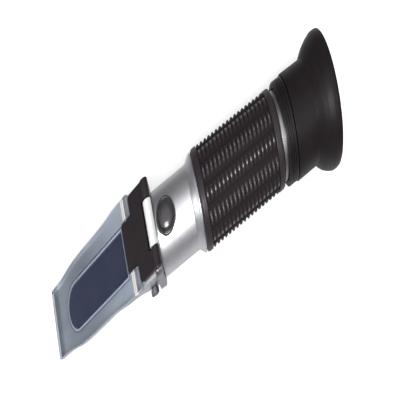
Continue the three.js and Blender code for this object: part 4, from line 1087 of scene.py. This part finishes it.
world = bpy.data.worlds.new("studio")
scene.world = world
world.use_nodes = True
t = world.node_tree
t.nodes.clear()
out = t.nodes.new("ShaderNodeOutputWorld")
bg = t.nodes.new("ShaderNodeBackground")
t.links.new(bg.outputs[0], out.inputs[0])
tc = t.nodes.new("ShaderNodeTexCoord")
dot = t.nodes.new("ShaderNodeVectorMath")
dot.operation = "DOT_PRODUCT"
to_cam = (C - row(14, 0, 0)).normalized()
dot.inputs[1].default_value = to_cam
t.links.new(tc.outputs["Generated"], dot.inputs[0])
acos = t.nodes.new("ShaderNodeMath")
acos.operation = "ARCCOSINE"
t.links.new(dot.outputs["Value"], acos.inputs[0])
norm = t.nodes.new("ShaderNodeMath")
norm.operation = "DIVIDE"
norm.inputs[1].default_value = math.pi
t.links.new(acos.outputs[0], norm.inputs[0])
ramp = t.nodes.new("ShaderNodeValToRGB")
t.links.new(norm.outputs[0], ramp.inputs[0])
stops = [(0, 1.75), (24, 1.5), (33, 0.95), (43, 0.47), (55, 0.27), (70, 0.185), (90, 0.13), (110, 0.15), (180, 0.15)]
ramp.color_ramp.interpolation = "B_SPLINE"
while len(ramp.color_ramp.elements) < len(stops):
    ramp.color_ramp.elements.new(0.5)
for e, (deg, v) in zip(ramp.color_ramp.elements, stops):
    e.position = deg / 180
    e.color = (v * 0.992, v * 0.997, v * 1.0, 1)
card = t.nodes.new("ShaderNodeVectorMath")
card.operation = "DOT_PRODUCT"
card.inputs[1].default_value = CARD
t.links.new(tc.outputs["Generated"], card.inputs[0])
edge = t.nodes.new("ShaderNodeMapRange")
edge.interpolation_type = "SMOOTHSTEP"
for i, v in zip((1, 2, 3, 4), (math.cos(math.radians(16)), math.cos(math.radians(9)), 0.0, 3.6)):
    edge.inputs[i].default_value = v
t.links.new(card.outputs["Value"], edge.inputs[0])
lit = t.nodes.new("ShaderNodeMix")
lit.data_type = "RGBA"
lit.blend_type = "ADD"
lit.inputs[0].default_value = 1.0
t.links.new(ramp.outputs[0], lit.inputs[6])
t.links.new(edge.outputs[0], lit.inputs[7])
lpw = t.nodes.new("ShaderNodeLightPath")
mixw = t.nodes.new("ShaderNodeMix")
mixw.data_type = "RGBA"
mixw.inputs[6].default_value = (1.12, 1.12, 1.125, 1)
t.links.new(lpw.outputs["Is Glossy Ray"], mixw.inputs[0])
t.links.new(lit.outputs[2], mixw.inputs[7])
t.links.new(mixw.outputs[2], bg.inputs[0])


def softbox(name, at, target, size, power, color=(1, 1, 1)):
    d = bpy.data.lights.new(name, "AREA")
    d.shape = "DISK"
    d.size = size
    d.energy = power
    d.color = color
    o = bpy.data.objects.new(name, d)
    scene.collection.objects.link(o)
    o.location = at
    o.rotation_mode = "QUATERNION"
    o.rotation_quaternion = (target - at).to_track_quat("-Z", "Y")
    return o


aim = row(20, 0, 0)
softbox("key_softbox", aim + Vector((-0.10, -0.35, 0.75)), aim, 0.35, 4.0)

scene.view_settings.view_transform = "Standard"
scene.view_settings.look = "None"
scene.view_settings.exposure = 0.0
scene.view_settings.gamma = 1.0
